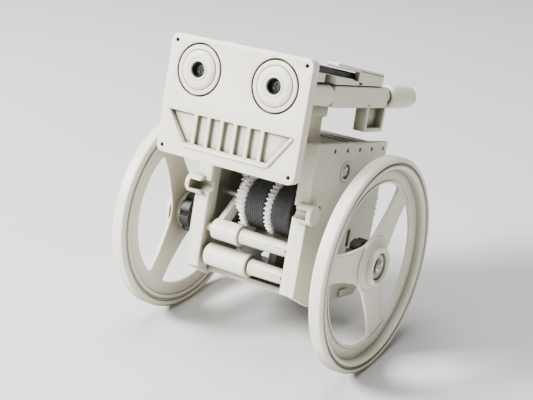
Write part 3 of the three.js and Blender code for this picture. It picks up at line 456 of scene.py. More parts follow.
def plated(name, light, dark, roughness, stretch):
    """Metal with a fine grain that runs one way."""
    made, tree, shader = start_material(name, roughness, 1.0)
    grain = noise(tree, 900, 4, stretch)
    tree.links.new(blended(tree, grain, dark, light), shader.inputs["Base Color"])
    tree.links.new(ranged(tree, grain, roughness - 0.06, roughness + 0.12), shader.inputs["Roughness"])
    bumped(tree, shader, grain, 0.15, 0.00003)
    return made


def cell_blue(name):
    """Dark blue silicon flakes under clear resin."""
    made, tree, shader = start_material(name, 0.3)
    place = tree.nodes.new("ShaderNodeTexCoord")
    flakes = tree.nodes.new("ShaderNodeTexVoronoi")
    flakes.inputs["Scale"].default_value = 420
    tree.links.new(place.outputs["Object"], flakes.inputs["Vector"])
    tree.links.new(
        blended(tree, flakes.outputs["Distance"], (0.012, 0.014, 0.085), (0.03, 0.038, 0.19)),
        shader.inputs["Base Color"],
    )
    tree.links.new(ranged(tree, noise(tree, 500, 2), 0.22, 0.34), shader.inputs["Roughness"])
    bumped(tree, shader, noise(tree, 1800, 2), 0.05, 0.00004)
    shader.inputs["Coat Weight"].default_value = 0.8
    shader.inputs["Coat Roughness"].default_value = 0.06
    return made


# The third and fourth colours of each moulded plastic are painted shade, for creases and for the hollow
# inside of the body
IVORY_TONES = ((0.86, 0.825, 0.69), (0.82, 0.785, 0.645))
IVORY = moulded("ivory_plastic", *IVORY_TONES, (0.2, 0.185, 0.12), (0.17, 0.16, 0.105), 0.42)
# The idler's arm is inside the body, but near its open front, so it gets a lighter painted shade in the
# hollow than the rest in there
ARM_IVORY = moulded("ivory_plastic_lighter_painted_shade", *IVORY_TONES, (0.3, 0.28, 0.2), (0.7, 0.67, 0.54), 0.42)
WHITE = moulded("white_plastic", (0.90, 0.895, 0.87), (0.86, 0.855, 0.83), (0.42, 0.42, 0.38),
                (0.55, 0.54, 0.50), 0.36)
CHARCOAL = moulded("charcoal_plastic", (0.032, 0.03, 0.026), (0.024, 0.022, 0.019), (0.008, 0.008, 0.007),
                   (0.01, 0.01, 0.009), 0.5)
RUBBER = rubber("roller_rubber")
STEEL = plated("plated_steel", (0.66, 0.66, 0.67), (0.5, 0.5, 0.51), 0.3, (1, 6, 6))
BRASS = plated("brass", (0.78, 0.6, 0.3), (0.62, 0.46, 0.2), 0.32, (1, 5, 5))
SILVER = plated("silver_print", (0.3, 0.31, 0.38), (0.24, 0.25, 0.31), 0.4, (4, 1, 1))
CELLS = cell_blue("solar_cells")


# ---------------------------------------------------------------- wheels

SPOKES = 3
SPOKE_TURN = {"right": math.radians(57), "left": math.radians(2)}
SPOKE_HALF_AT_HUB = 6.2
SPOKE_HALF_MIDWAY = 4.3
SPOKE_HALF_AT_RIM = 4.6
WINDOW_FROM = 9.4
WINDOW_MIDWAY = 0.55
WINDOW_STEPS = 16
WINDOW_CORNER = 3.2
RIM_WIDTH = 5
RIM_HEIGHT = 4
WEB_RING = 5
WEB_FROM = 0.7
WEB = 2
HUB_RADIUS = 6.5
HUB_PROUD = 0.5
HUB_BORE = 2.0
HUB_RECESS = 2.4
SKIRT_RADIUS = 9.6
SCREW_HEAD = 2.2
SCREW_SHANK = 0.8
SCREW_CROWN = 0.9
SCREW_SLOT_DEPTH = 0.42
SCREW_SLOT_HALF = 0.3
BUSH_NOTCHES = 8
BUSH_NOTCH_DEPTH = 1.5
BUSH_STEPS = 12
RUNNING_GAP = 0.2


def spoke_window(direction, outer):
    """The opening between two spokes, rounded in its corners."""
    middle = WINDOW_MIDWAY * (WINDOW_FROM + outer)
    half_outer = math.pi / SPOKES - math.asin(SPOKE_HALF_AT_RIM / outer)
    half_inner = math.pi / SPOKES - math.asin(SPOKE_HALF_AT_HUB / WINDOW_FROM)
    half_middle = math.pi / SPOKES - math.asin(SPOKE_HALF_MIDWAY / middle)
    rim = [
        (outer, direction + half_outer * (1 - 2 * i / WINDOW_STEPS)) for i in range(WINDOW_STEPS + 1)
    ]
    points = [
        (WINDOW_FROM, direction - half_inner), (WINDOW_FROM, direction + half_inner),
        (middle, direction + half_middle), *rim, (middle, direction - half_middle),
    ]
    flat = [(radius * math.cos(angle), radius * math.sin(angle)) for radius, angle in points]
    return softened(flat, WINDOW_CORNER, 5)


def wheel(word, side):
    node = f"{word}_wheel"
    low, high = span(node)
    axle = shaft("wheel_spin")
    centre = (0, axle.y, axle.z)
    radius = (high.z - low.z) / 2
    hub_in, hub_out = reach_in_x(node, side)
    hub_face = hub_out - side * HUB_PROUD
    recess_floor = hub_out - side * HUB_RECESS
    rim_in = hub_face - side * RIM_WIDTH

    def out(distance):
        """A place on X this far outwards from the rim's inner face."""
        return rim_in + side * distance

    tyre = lathe(softened([
        (out(0.1), radius - 4.4), (out(0.1), radius - 3.2), (out(0.9), radius - 2.8),
        (out(0.9), radius - 2.3), (out(0.0), radius - 1.9), (out(0.0), radius - 0.9),
        (out(0.7), radius), (out(2.5), radius), (out(4.2), radius),
        (out(RIM_WIDTH), radius - 0.7), (out(RIM_WIDTH), radius - 1.5), (out(3.9), radius - 1.8),
        (out(3.9), radius - 2.3), (out(4.8), radius - 2.6), (out(4.8), radius - 3.4),
        (out(4.0), radius - RIM_HEIGHT), (out(1.9), radius - 4.4),
    ], 0.35, 3), centre, "X", 160)
    outer = radius - RIM_HEIGHT - WEB_RING
    windows = []
    for i in range(SPOKES):
        direction = SPOKE_TURN[word] + (2 * i + 1) * math.pi / SPOKES
        windows.append([(u + axle.y, v + axle.z) for u, v in spoke_window(direction, outer)])
    web_edge = circle(axle.y, axle.z, radius - RIM_HEIGHT + 0.4, 160)
    web = plate([web_edge, *windows], out(WEB_FROM), out(WEB + 0.1), "YZ", 0.45)
    inner_bead = tube(outer + 1.0, outer + 0.3, out(1.6), out(2.5), centre, "X", 0.3, 160)
    barrel = lathe(softened([
        (hub_in, HUB_BORE), (hub_in, HUB_RADIUS), (out(WEB + 0.6), HUB_RADIUS),
        (hub_out, HUB_RADIUS - 0.3), (hub_out, 5.3), (hub_face, 5.1), (hub_face, 4.6),
        (recess_floor, 4.45), (recess_floor, HUB_BORE),
    ], 0.3, 3), centre, "X", 96)
    skirt = lathe(softened([
        (out(WEB - 0.4), HUB_RADIUS - 0.8), (out(WEB - 0.4), SKIRT_RADIUS),
        (out(WEB + 0.5), SKIRT_RADIUS), (out(WEB + 0.7), 8.9), (out(WEB + 0.5), 8.3),
        (out(WEB + 1.5), HUB_RADIUS - 0.1), (out(WEB + 1.5), HUB_RADIUS - 0.8),
    ], 0.3, 3), centre, "X", 96)
    piece(f"{word}_wheel_moulding", gathered(tyre, web, inner_bead, barrel, skirt), "wheel_set",
          IVORY, "ivory_plastic", node)


def hub_fittings(word, side):
    """The cap in the hub's recess and the screw that holds it."""
    axle = shaft("wheel_spin")
    centre = (0, axle.y, axle.z)
    low, high = span(f"{word}_hub_cap")
    inner, _ = reach_in_x(f"{word}_hub_cap", side)
    dish = inner + side * 0.6
    seat = inner + side * 0.4
    radius = (high.z - low.z) / 2
    cap = lathe(softened([
        (inner, 1.2), (inner, radius), (inner + side * 0.7, radius), (inner + side * 1.0, radius - 0.5),
        (dish, radius - 0.9), (dish, 2.7), (seat, 2.5), (seat, 1.2),
    ], 0.18, 3), centre, "X", 72)
    piece(f"{word}_hub_cap_moulding", cap, "wheel_set", IVORY, "ivory_plastic", f"{word}_hub_cap")
    screw = screw_x(f"{word}_hub_screw", centre, side)
    piece(f"{word}_hub_screw_turned", screw, "wheel_set", STEEL, "steel", f"{word}_hub_screw")


def screw_x(node, centre, side):
    """A pan-head screw along X with a slot in its head, from end to end of a CAD node."""
    tip, top = reach_in_x(node, side)
    under = top - side * SCREW_CROWN
    shape = lathe(soft_profile([
        (tip, 0), (tip, SCREW_SHANK * 0.6), (tip + side * 0.8, SCREW_SHANK), (under, SCREW_SHANK),
        (under, SCREW_HEAD), (top - side * 0.4, SCREW_HEAD - 0.1), (top, SCREW_HEAD * 0.6), (top, 0),
    ], 0.2), centre, "X", 48)
    slot = slab(
        (top - side * SCREW_SLOT_DEPTH, centre[1] - 3, centre[2] - SCREW_SLOT_HALF),
        (top + side, centre[1] + 3, centre[2] + SCREW_SLOT_HALF), 0.05, 1,
    )
    return carved(shape, slot)


def axle_and_bushes():
    axle = shaft("wheel_spin")
    centre = (0, axle.y, axle.z)
    low, high = span("axle")
    radius = (high.z - low.z) / 2
    bar = lathe(soft_profile([
        (low.x, 1.0), (low.x, radius), (high.x, radius), (high.x, 1.0),
    ], 0.3), centre, "X", 48)
    piece("axle_moulding", bar, "wheel_set", IVORY, "ivory_plastic", "axle")
    for word, _ in SIDES:
        node = f"{word}_drive_bush"
        low, high = span(node)
        outer = (high.z - low.z) / 2
        points = []
        for i in range(BUSH_NOTCHES * BUSH_STEPS):
            angle = 2 * math.pi * i / (BUSH_NOTCHES * BUSH_STEPS)
            dip = max(0.0, math.cos(BUSH_NOTCHES * angle)) ** 3
            reach = outer - BUSH_NOTCH_DEPTH * dip
            points.append((axle.y + reach * math.cos(angle), axle.z + reach * math.sin(angle)))
        bore = circle(axle.y, axle.z, radius + RUNNING_GAP, 40)
        bush = plate([points, bore], low.x, high.x, "YZ", 0.3)
        piece(f"{word}_drive_bush_moulding", bush, "wheel_set", CHARCOAL, "charcoal_plastic", node)


# ---------------------------------------------------------------- rollers and gears

ROLLER_RIBS = 9
ROLLER_EDGE = 0.4
ROLLER_BORE = 1.2
RIB_DEPTH = 0.22
GEAR_TEETH = 36
TOOTH_HEIGHT = 1.05
GEAR_RIM = 2.6


def rollers():
    at = shaft("roller_spin")
    centre = (0, at.y, at.z)
    for name in ("inner_roller", "outer_roller"):
        low, high = span(name)
        outer = (high.z - low.z) / 2
        pitch = (high.x - low.x - 2 * ROLLER_EDGE) / ROLLER_RIBS
        first = low.x + ROLLER_EDGE
        last = high.x - ROLLER_EDGE
        profile = [(low.x, ROLLER_BORE), (low.x, outer - 0.6), (first, outer - 0.1)]
        for i in range(ROLLER_RIBS):
            start = first + i * pitch
            profile += [
                (start + 0.25 * pitch, outer), (start + 0.6 * pitch, outer),
                (start + 0.9 * pitch, outer - RIB_DEPTH),
            ]
        profile += [(last, outer - 0.1), (high.x, outer - 0.6), (high.x, ROLLER_BORE)]
        drum = lathe(softened(profile, 0.12, 2), centre, "X", 120)
        piece(f"{name}_moulding", drum, "roller_set", RUBBER, "roller_rubber", name)
    for name in ("roller_gear", "flange_gear"):
        low, high = span(name)
        tip = (high.z - low.z) / 2
        teeth = toothed((at.y, at.z), GEAR_TEETH, tip - TOOTH_HEIGHT, tip)
        rim = plate([teeth, circle(at.y, at.z, tip - GEAR_RIM, 96)], low.x, high.x, "YZ", 0.09)
        web = tube(tip - GEAR_RIM + 0.2, ROLLER_BORE, low.x + 0.5, high.x - 0.5, centre, "X", 0.15, 96)
        hub = tube(3.2, 1.15, low.x, high.x, centre, "X", 0.15, 48)
        piece(f"{name}_moulding", gathered(rim, web, hub), "roller_set", WHITE, "white_plastic", name)


# ---------------------------------------------------------------- body

HALF_WIDTH = 21.8
WALL_IN = 19.6
POST_IN = 16.3
POST_DEPTH = 5.5
TOE = 11
HEEL = 5
SOCKET_OUT = 24.5
SOCKET_AT = (0, 0.2, 27.7)
SOCKET_RADIUS = 3.3
SOCKET_BORE = 2.0
SOCKET_MOUTH_HALF = 1.6
CASE_SCREW_AT = (20.4, 40.6)
TOP_HOLES = (11, 19.5, 28, 36.5, 45)
RACK_TEETH = 4
RACK_FROM = 23.2
RACK_PITCH = 1.9
RACK_PROUD = 0.9
DECK_TOP = 48.8
DECK_THICK = 2.2
DECK_POST_X = 12
DECK_COLLAR = 3.9
DECK_RIBS = (30, 36, 42)
FILL_HALF = 19.3
AIR_SLOTS = (12, 18, 24, 30)
BOTTOM_RIBS = (15, 21, 27)


def side_wall(word, side):
    node = f"{word}_side_wall"
    low, high = span(node)
    axle = shaft("wheel_spin")
    out = side * HALF_WIDTH
    inner = side * WALL_IN
    post_in = side * POST_IN
    socket_out = side * SOCKET_OUT
    keel = low.z
    top = high.z
    back = high.y
    tip = back + RACK_PROUD
    rack = []
    for i in range(RACK_TEETH):
        z = RACK_FROM + RACK_PITCH * i
        rack += [(back, z), (tip, z + 0.5), (tip, z + 1.0), (back, z + 1.5)]
    outline = [
        (0, 0), (TOE, keel), (back - HEEL, keel), (back, keel + HEEL), *rack, (back, top), (0, top),
    ]
    holes = [
        circle(axle.y, axle.z, 1.9, 32),
        rectangle(29.8, 32, 14, 20, 0.6),
        circle(6.9, 28.8, 1.1, 24),
        circle(*CASE_SCREW_AT, 2.6, 40),
        *[circle(y, top - 2.4, 0.7, 20) for y in TOP_HOLES],
    ]
    wall = plate([softened(outline, 0.5, 3), *holes], out, inner, "YZ", 0.32)
    screw_at = (0, *CASE_SCREW_AT)
    backing = tube(3.2, 1.2, out - side * 1.2, inner, screw_at, "X", 0.1, 40)
    rim_ring = tube(3.35, 2.55, out + side * 0.25, out - side * 0.5, screw_at, "X", 0.15, 48)
    axle_at = (0, axle.y, axle.z)
    bearing = tube(3.4, 2.0, out + side * 0.5, out - side * 0.5, axle_at, "X", 0.2, 48)
    post = slab((post_in, 0, 0), (inner + side * 0.6, POST_DEPTH, top), 0.5)
    boss = rod(SOCKET_RADIUS, inner - side * 1.0, socket_out, SOCKET_AT, "X", 0.45, 56)
    wall = fused(wall, post, boss)
    bore_from = post_in - side * 2
    bore_to = socket_out - side * 1.6
    bore = rod(SOCKET_BORE, bore_from, bore_to, SOCKET_AT, "X", 0.3, 48)
    _, y, z = SOCKET_AT
    mouth = slab(
        (bore_from, -5, z - SOCKET_MOUTH_HALF), (bore_to, y, z + SOCKET_MOUTH_HALF), 0.2, 2
    )
    wall = carved(wall, bore, mouth)
    hole_floor = slab(
        (inner + side * 0.2, 8, top - 3.6), (out - side * 0.8, 46.5, top - 1.2), 0.1, 1
    )
    heel = slab((out, back - 17, keel + 0.9), (out + side * 0.8, back - 12, keel + 3.1), 0.25)
    parts = gathered(wall, backing, rim_ring, bearing, heel, hole_floor)
    piece(f"{word}_side_wall_moulding", parts, "chassis", IVORY, "ivory_plastic", node)
    node = f"{word}_case_screw"
    low, high = span(node)
    screw = screw_x(node, (0, (low.y + high.y) / 2, (low.z + high.z) / 2), side)
    piece(f"{word}_case_screw_turned", screw, "chassis", STEEL, "steel", node)


def top_deck():
    low, high = span("top_deck")
    half = high.x
    parts = [slab((-half, low.y, DECK_TOP - DECK_THICK), (half, high.y, DECK_TOP), 0.35)]
    bridge_low, bridge_high = span("holder_bridge")
    seat = bridge_low.z - 0.3
    for _, side in SIDES:
        x = side * DECK_POST_X
        parts.append(lathe(soft_profile([
            (DECK_TOP - 1, 0), (DECK_TOP - 1, DECK_COLLAR), (DECK_TOP + 0.5, DECK_COLLAR),
            (DECK_TOP + 1.6, 2.7), (seat - 4.0, 2.6), (seat - 3.4, DECK_COLLAR),
            (seat, DECK_COLLAR), (seat, 1.8), (high.z - 0.4, 1.75), (high.z, 1.3), (high.z, 0),
        ], 0.35), (x, (bridge_low.y + bridge_high.y) / 2, 0), "Z", 64))
        parts.append(slab(
            (side * (half - 2.4), 16.4, low.z), (side * half, 24.4, DECK_TOP - 1), 0.3
        ))
    for y in DECK_RIBS:
        parts.append(slab((-half + 3, y, DECK_TOP - 0.2), (half - 3, y + 1.6, DECK_TOP + 0.35), 0.2))
    piece("top_deck_moulding", gathered(*parts), "chassis", IVORY, "ivory_plastic", "top_deck")


def covers():
    low, high = span("rear_cover")
    half = FILL_HALF
    slots = [rectangle(-8, 8, z, z + 2, 0.8) for z in AIR_SLOTS]
    outline = rectangle(-half, half, low.z, high.z, 0.8)
    cover = plate([outline, *slots], low.y, high.y, "XZ", 0.35)
    border_out = rectangle(-half + 3, half - 3, low.z + 2.4, high.z - 2.4, 2.4)
    border_in = rectangle(-half + 4.2, half - 4.2, low.z + 3.6, high.z - 3.6, 2.0)
    border = plate([border_out, border_in], high.y - 0.4, high.y + 0.3, "XZ", 0.2)
    piece("rear_cover_moulding", gathered(cover, border), "chassis", IVORY, "ivory_plastic", "rear_cover")
    low, high = span("bottom_plate")
    base = slab((-half, low.y, low.z), (half, high.y, high.z), 0.35)
    ribs = [
        slab((-half + 2, y, low.z - 0.5), (half - 2, y + 1.2, low.z + 0.3), 0.2) for y in BOTTOM_RIBS
    ]
    piece("bottom_plate_moulding", gathered(base, *ribs), "chassis", IVORY, "ivory_plastic", "bottom_plate")


# ---------------------------------------------------------------- cross tubes, arm and skid

PEG = 1.5
CORE = 0.4  # radius of the fine hole left down the middle of a sleeve
SLEEVE_BORE = 1.8
SLEEVE_BORE_DEPTH = 3
SLEEVE_RIM = 0.12
SLEEVE_FROM = -14.5
ROD_TO = 16.0
RODS = (("lower_cross_rod", 2.8), ("upper_cross_rod", 2.75))
ARM_SLEEVE = 3.5
ARM_FOOT = Vector((3.2, 14.0))
ARM_HALF = 2.3
ARM_FROM = -13.4
ARM_TO = -11.3
ARM_EYE = 3.4
SKID_HALF = 4.5


def cross_tubes():
    low, high = span("lower_cross_sleeve")
    y = (low.y + high.y) / 2
    z = (low.z + high.z) / 2
    radius = (high.z - low.z) / 2
    bore_floor = high.x - SLEEVE_BORE_DEPTH
    rim = radius + SLEEVE_RIM
    sleeve = lathe(softened([
        (low.x, CORE), (low.x, PEG), (SLEEVE_FROM - 0.1, PEG), (SLEEVE_FROM, radius),
        (high.x - 1.5, radius), (high.x - 1.2, rim), (high.x, rim),
        (high.x, SLEEVE_BORE), (bore_floor, SLEEVE_BORE), (bore_floor, CORE),
    ], 0.45, 3), (0, y, z), "X", 72)
    piece("lower_cross_sleeve_moulding", sleeve, "chassis", IVORY, "ivory_plastic", "lower_cross_sleeve")
    for name, thick in RODS:
        low, high = span(name)
        y = (low.y + high.y) / 2
        z = (low.z + high.z) / 2
        shoulder = low.x + 4.3
        slim = thick - 0.15
        fin = thick + 0.12
        bar = lathe(soft_profile([
            (low.x, 0), (low.x, PEG), (shoulder, PEG), (shoulder, thick), (shoulder + 0.9, thick),
            (shoulder + 1.2, slim), (ROD_TO, slim), (ROD_TO, PEG), (high.x, PEG), (high.x, 0),
        ], 0.2), (0, y, z), "X", 72)
        fin = slab((shoulder + 1.5, y - fin, z - 0.35), (ROD_TO - 0.2, y + fin, z + 0.35), 0.12, 2)
        piece(f"{name}_moulding", gathered(bar, fin), "chassis", IVORY, "ivory_plastic", name)


def idler_arm():
    low, high = span("idler_arm")
    eye = Vector(shaft("idler_spin").yz)
    along = (eye - ARM_FOOT).normalized()
    across = Vector((-along.y, along.x)) * ARM_HALF
    bar = plate([softened([
        tuple(ARM_FOOT + across), tuple(ARM_FOOT - across), tuple(eye - across), tuple(eye + across),
    ], 0.4)], ARM_FROM, ARM_TO, "YZ", 0.4)
    ring = tube(ARM_EYE, 1.3, ARM_FROM, ARM_TO, (0, eye.x, eye.y), "X", 0.35, 56)
    bore_floor = high.x - SLEEVE_BORE_DEPTH
    rim = ARM_SLEEVE + SLEEVE_RIM
    sleeve = lathe(softened([
        (low.x, CORE), (low.x, PEG), (ARM_FROM - 0.1, PEG), (ARM_FROM, ARM_SLEEVE),
        (high.x - 1.4, ARM_SLEEVE), (high.x - 1.1, rim), (high.x, rim),
        (high.x, SLEEVE_BORE), (bore_floor, SLEEVE_BORE), (bore_floor, CORE),
    ], 0.4, 3), (0, ARM_FOOT.x, ARM_FOOT.y), "X", 72)
    piece("idler_arm_moulding", gathered(bar, ring, sleeve), "chassis",
          ARM_IVORY, "ivory_plastic", "idler_arm")


def tail_skid():
    _, high = span("tail_skid")
    axle = shaft("wheel_spin")

    def above(y, height):
        """A point of an outline, this far up the body's z from the floor."""
        return y, axle.z + (math.sin(LEAN) * (y - axle.y) - WHEEL_RADIUS) / math.cos(LEAN) + height

    top = high.z
    outline = [
        (31, top), (46, top), above(64, 4.4), above(70.6, 3.4), above(72.0, 1.5),
        above(71.2, 0.02), above(64.6, 0.02), (44.6, top - 2.4), (31, top - 2.4),
    ]
    arm = plate([softened(outline, 1.4, 5)], -SKID_HALF, SKID_HALF, "YZ", 0.7)
    rib = plate([softened([
        (38, top - 0.6), (46, top - 0.2), above(64, 5.2), above(60, 3.2), (44, top - 2.2),
    ], 0.8, 3)], -0.8, 0.8, "YZ", 0.3)
    piece("tail_skid_moulding", gathered(arm, rib), "chassis", IVORY, "ivory_plastic", "tail_skid")


# ---------------------------------------------------------------- holder and panel

RAIL_X = 18.4
RAIL_Z = 65.15
RAIL_RADIUS = 3.65
RAIL_SLIM = 3.35
RAIL_HALF = 3.55
TUBE_END = 4.0
PIN_BORE = 2.2
PIN_DEPTH = 6.5
NECK_RADIUS = 2.2
NECK_LENGTH = 8.5
LUG_LENGTH = 14
LUG_WIDTH = 4.4
KNOB_RADIUS = 4.1
KNOB_BORE = 2.5
KNOB_BORE_DEPTH = 4.8
BRIDGE_HALF = 14.55
PANEL_THICK = 2.2
PANEL_SLOPE = 0.08  # how much the panel and its clips rise for each millimetre forward
PANEL_COLUMNS = 2
PANEL_ROWS = 5
PANEL_MARGIN = 1.6
CELL_GAP = 0.5
FINGERS = 9
CLIP_UPRIGHT = 15
CLIP_WEDGE = 18
CLIP_LIP = 1.3


def rails():
    for word, side in SIDES:
        low, high = span(f"{word}_rail")
        x = side * RAIL_X
        z = RAIL_Z
        block_end = high.y - NECK_LENGTH
        lug_from = block_end - LUG_LENGTH
        lug_out = x + side * RAIL_HALF
        lug_in = lug_out - side * LUG_WIDTH
        pin_end = low.y + PIN_DEPTH
        barrel = lathe(softened([
            (low.y, PIN_BORE), (low.y, RAIL_RADIUS), (low.y + 1.2, RAIL_RADIUS),
            (low.y + 1.5, RAIL_SLIM), (TUBE_END - 2.2, RAIL_SLIM), (TUBE_END - 1.2, RAIL_RADIUS),
            (TUBE_END + 0.6, RAIL_RADIUS), (TUBE_END + 0.6, CORE), (pin_end, CORE),
            (pin_end, PIN_BORE),
        ], 0.3, 3), (x, 0, z), "Y", 72)
        block = slab(
            (x - RAIL_HALF, TUBE_END - 0.3, z - RAIL_HALF), (x + RAIL_HALF, block_end, z + RAIL_HALF), 0.6
        )
        neck = rod(NECK_RADIUS, block_end - 1, high.y, (x, 0, z), "Y", 0.3, 40)
        lug_low = low.z
        border = plate([softened([
            (lug_from, z - 2), (lug_from + 0.4, lug_low), (block_end - 0.5, lug_low), (block_end, z - 2),
            (block_end - 1.3, z - 2), (block_end - 1.7, lug_low + 1.3), (lug_from + 1.9, lug_low + 1.3),
            (lug_from + 1.5, z - 2),
        ], 0.5)], lug_in, lug_out, "YZ", 0.3)
        web = slab(
            (lug_in, lug_from + 0.4, lug_low + 0.5), (lug_in + side * 1.6, block_end - 0.6, z - 2.4), 0.2, 2
        )
        piece(f"{word}_rail_moulding", gathered(barrel, block, neck, border, web), "chassis",
              IVORY, "ivory_plastic", f"{word}_rail")
        low, high = span(f"{word}_rail_knob")
        length = high.y - low.y
        bore_floor = low.y + KNOB_BORE_DEPTH
        knob = lathe(softened([
            (low.y, KNOB_BORE), (low.y, 3.3), (low.y + 1.6, KNOB_RADIUS),
            (low.y + 0.58 * length, KNOB_RADIUS), (low.y + 0.86 * length, 3.7), (high.y - 0.3, 2.3),
            (high.y, 0.01), (bore_floor, 0.01), (bore_floor, KNOB_BORE),
        ], 0.45, 3), (x, 0, z), "Y", 72)
        piece(f"{word}_rail_knob_moulding", knob, "chassis",
              IVORY, "ivory_plastic", f"{word}_rail_knob")


def bridge():
    low, high = span("holder_bridge")
    bar = slab((-BRIDGE_HALF, low.y, low.z), (BRIDGE_HALF, high.y, high.z), 0.6)
    middle = (low.y + high.y) / 2
    seats = [
        tube(3.4, 1.9, high.z - 0.3, high.z + 0.35, (side * DECK_POST_X, middle, 0), "Z", 0.2, 48)
        for _, side in SIDES
    ]
    pegs = rod(1.4, low.x, high.x, (0, middle, RAIL_Z), "X", 0.3, 32)
    piece("holder_bridge_moulding", gathered(bar, *seats, pegs), "chassis",
          IVORY, "ivory_plastic", "holder_bridge")


def sloped(made, back):
    """Shears a level shape so that it rises to the front from the panel's back edge."""
    lean = Matrix.Identity(4)
    lean[2][1] = -PANEL_SLOPE
    lean[2][3] = PANEL_SLOPE * back
    made.data.transform(lean)
    return made


def solar_panel():
    low, high = span("solar_panel")
    top = low.z + PANEL_THICK
    back = high.y
    board = slab((low.x, low.y, low.z), (high.x, back, top - 0.35), 0.3)
    piece("solar_panel_board", sloped(board, back), "chassis", CHARCOAL, "solar_cell", "solar_panel")
    cell_x = (high.x - low.x - 2 * PANEL_MARGIN - (PANEL_COLUMNS - 1) * CELL_GAP) / PANEL_COLUMNS
    cell_y = (back - low.y - 2 * PANEL_MARGIN - (PANEL_ROWS - 1) * CELL_GAP) / PANEL_ROWS
    cells = []
    prints = []
    for column in range(PANEL_COLUMNS):
        for row in range(PANEL_ROWS):
            x0 = low.x + PANEL_MARGIN + column * (cell_x + CELL_GAP)
            y0 = low.y + PANEL_MARGIN + row * (cell_y + CELL_GAP)
            cells.append(slab((x0, y0, top - 0.5), (x0 + cell_x, y0 + cell_y, top - 0.1), 0.08, 2))
            bus = y0 + cell_y / 2
            prints.append(slab((x0, bus - 0.2, top - 0.2), (x0 + cell_x, bus + 0.2, top - 0.02), 0.04, 1))
            for i in range(FINGERS):
                x = x0 + cell_x * (i + 0.5) / FINGERS
                prints.append(slab(
                    (x - 0.05, y0 + 0.3, top - 0.2), (x + 0.05, y0 + cell_y - 0.3, top - 0.05), 0.02, 1
                ))
    piece("solar_cells", sloped(gathered(*cells), back), "chassis", CELLS, "solar_cell")
    piece("solar_cell_prints", sloped(gathered(*prints), back), "chassis", SILVER, "solar_cell")


def panel_clip(word, side):
    """A wedge under the panel's edge and a strip over it, joined by an upright at the back."""
    node = f"{word}_panel_clip"
    low, high = span(node)
    inner, outer = reach_in_x(node, side)
    length = high.y - low.y
    over = high.z - PANEL_SLOPE * length
    under = over - 1.6 - PANEL_THICK - 0.3

    def sloping(distance, height):
        """A point this far behind the front end, on a line that is this high at the back end."""
        return low.y + distance, height + PANEL_SLOPE * (length - distance)

    stem = plate([softened([
        (low.y + CLIP_UPRIGHT, low.z), (high.y, low.z), sloping(length, over - 0.4),
        sloping(CLIP_UPRIGHT, over - 0.4),
    ], 0.4)], outer, outer - side * 2.0, "YZ", 0.3)
    strip = plate([softened([
        sloping(0, over - CLIP_LIP), sloping(length, over - CLIP_LIP), sloping(length, over),
        sloping(0, over),
    ], 0.45)], outer, inner, "YZ", 0.35)
    wedge = plate([softened([
        (low.y, low.z), (low.y + CLIP_WEDGE, low.z), sloping(CLIP_WEDGE, under), sloping(0, under),
    ], 0.35)], outer, inner, "YZ", 0.3)
    piece(f"{word}_panel_clip_moulding", gathered(stem, strip, wedge), "chassis",
          IVORY, "ivory_plastic", node)


# ---------------------------------------------------------------- face

EYE_X = 14
EYE_DROP = 10
EYE_GROOVES = ((8.35, 96), (7.75, 96), (6.3, 80))
MOUTH_DEPTH = 1.6
MOUTH_TOP = 14
MOUTH_BOTTOM = 4.7
MOUTH_HALF_TOP = 22.4
MOUTH_HALF_BOTTOM = 15.4
MOUTH_BARS = 6
BARS_SPAN = 34.8
BAR_HALF = 0.65
LIP_RADIUS = 0.62
DIMPLE_INSET = 2.2
DIMPLE_RADIUS = 0.62


def mouth_windows(bottom, top):
    """The openings between the mouth's bars, from left to right."""
    pitch = BARS_SPAN / (MOUTH_BARS + 1)
    bars = [i * pitch - BARS_SPAN / 2 for i in range(1, MOUTH_BARS + 1)]
    right = bars[0] - BAR_HALF
    left = bars[-1] + BAR_HALF
    windows = [
        [(-MOUTH_HALF_TOP, top), (-MOUTH_HALF_BOTTOM, bottom), (right, bottom), (right, top)],
        *[rectangle(one + BAR_HALF, two - BAR_HALF, bottom, top) for one, two in zip(bars, bars[1:])],
        [(left, top), (left, bottom), (MOUTH_HALF_BOTTOM, bottom), (MOUTH_HALF_TOP, top)],
    ]
    return [softened(window, 0.35, 3) for window in windows]


def mouth_lip(bottom, top, y):
    """The bead round the mouth's sides and underside."""
    right = [
        (MOUTH_HALF_BOTTOM - 0.2, y, bottom - 0.95), (MOUTH_HALF_BOTTOM + 0.75, y, bottom - 0.5),
        (MOUTH_HALF_TOP + 0.7, y, top - 0.1),
    ]
    left = [(-x, y, z) for x, y, z in reversed(right)]
    return ridge(left + right, LIP_RADIUS)


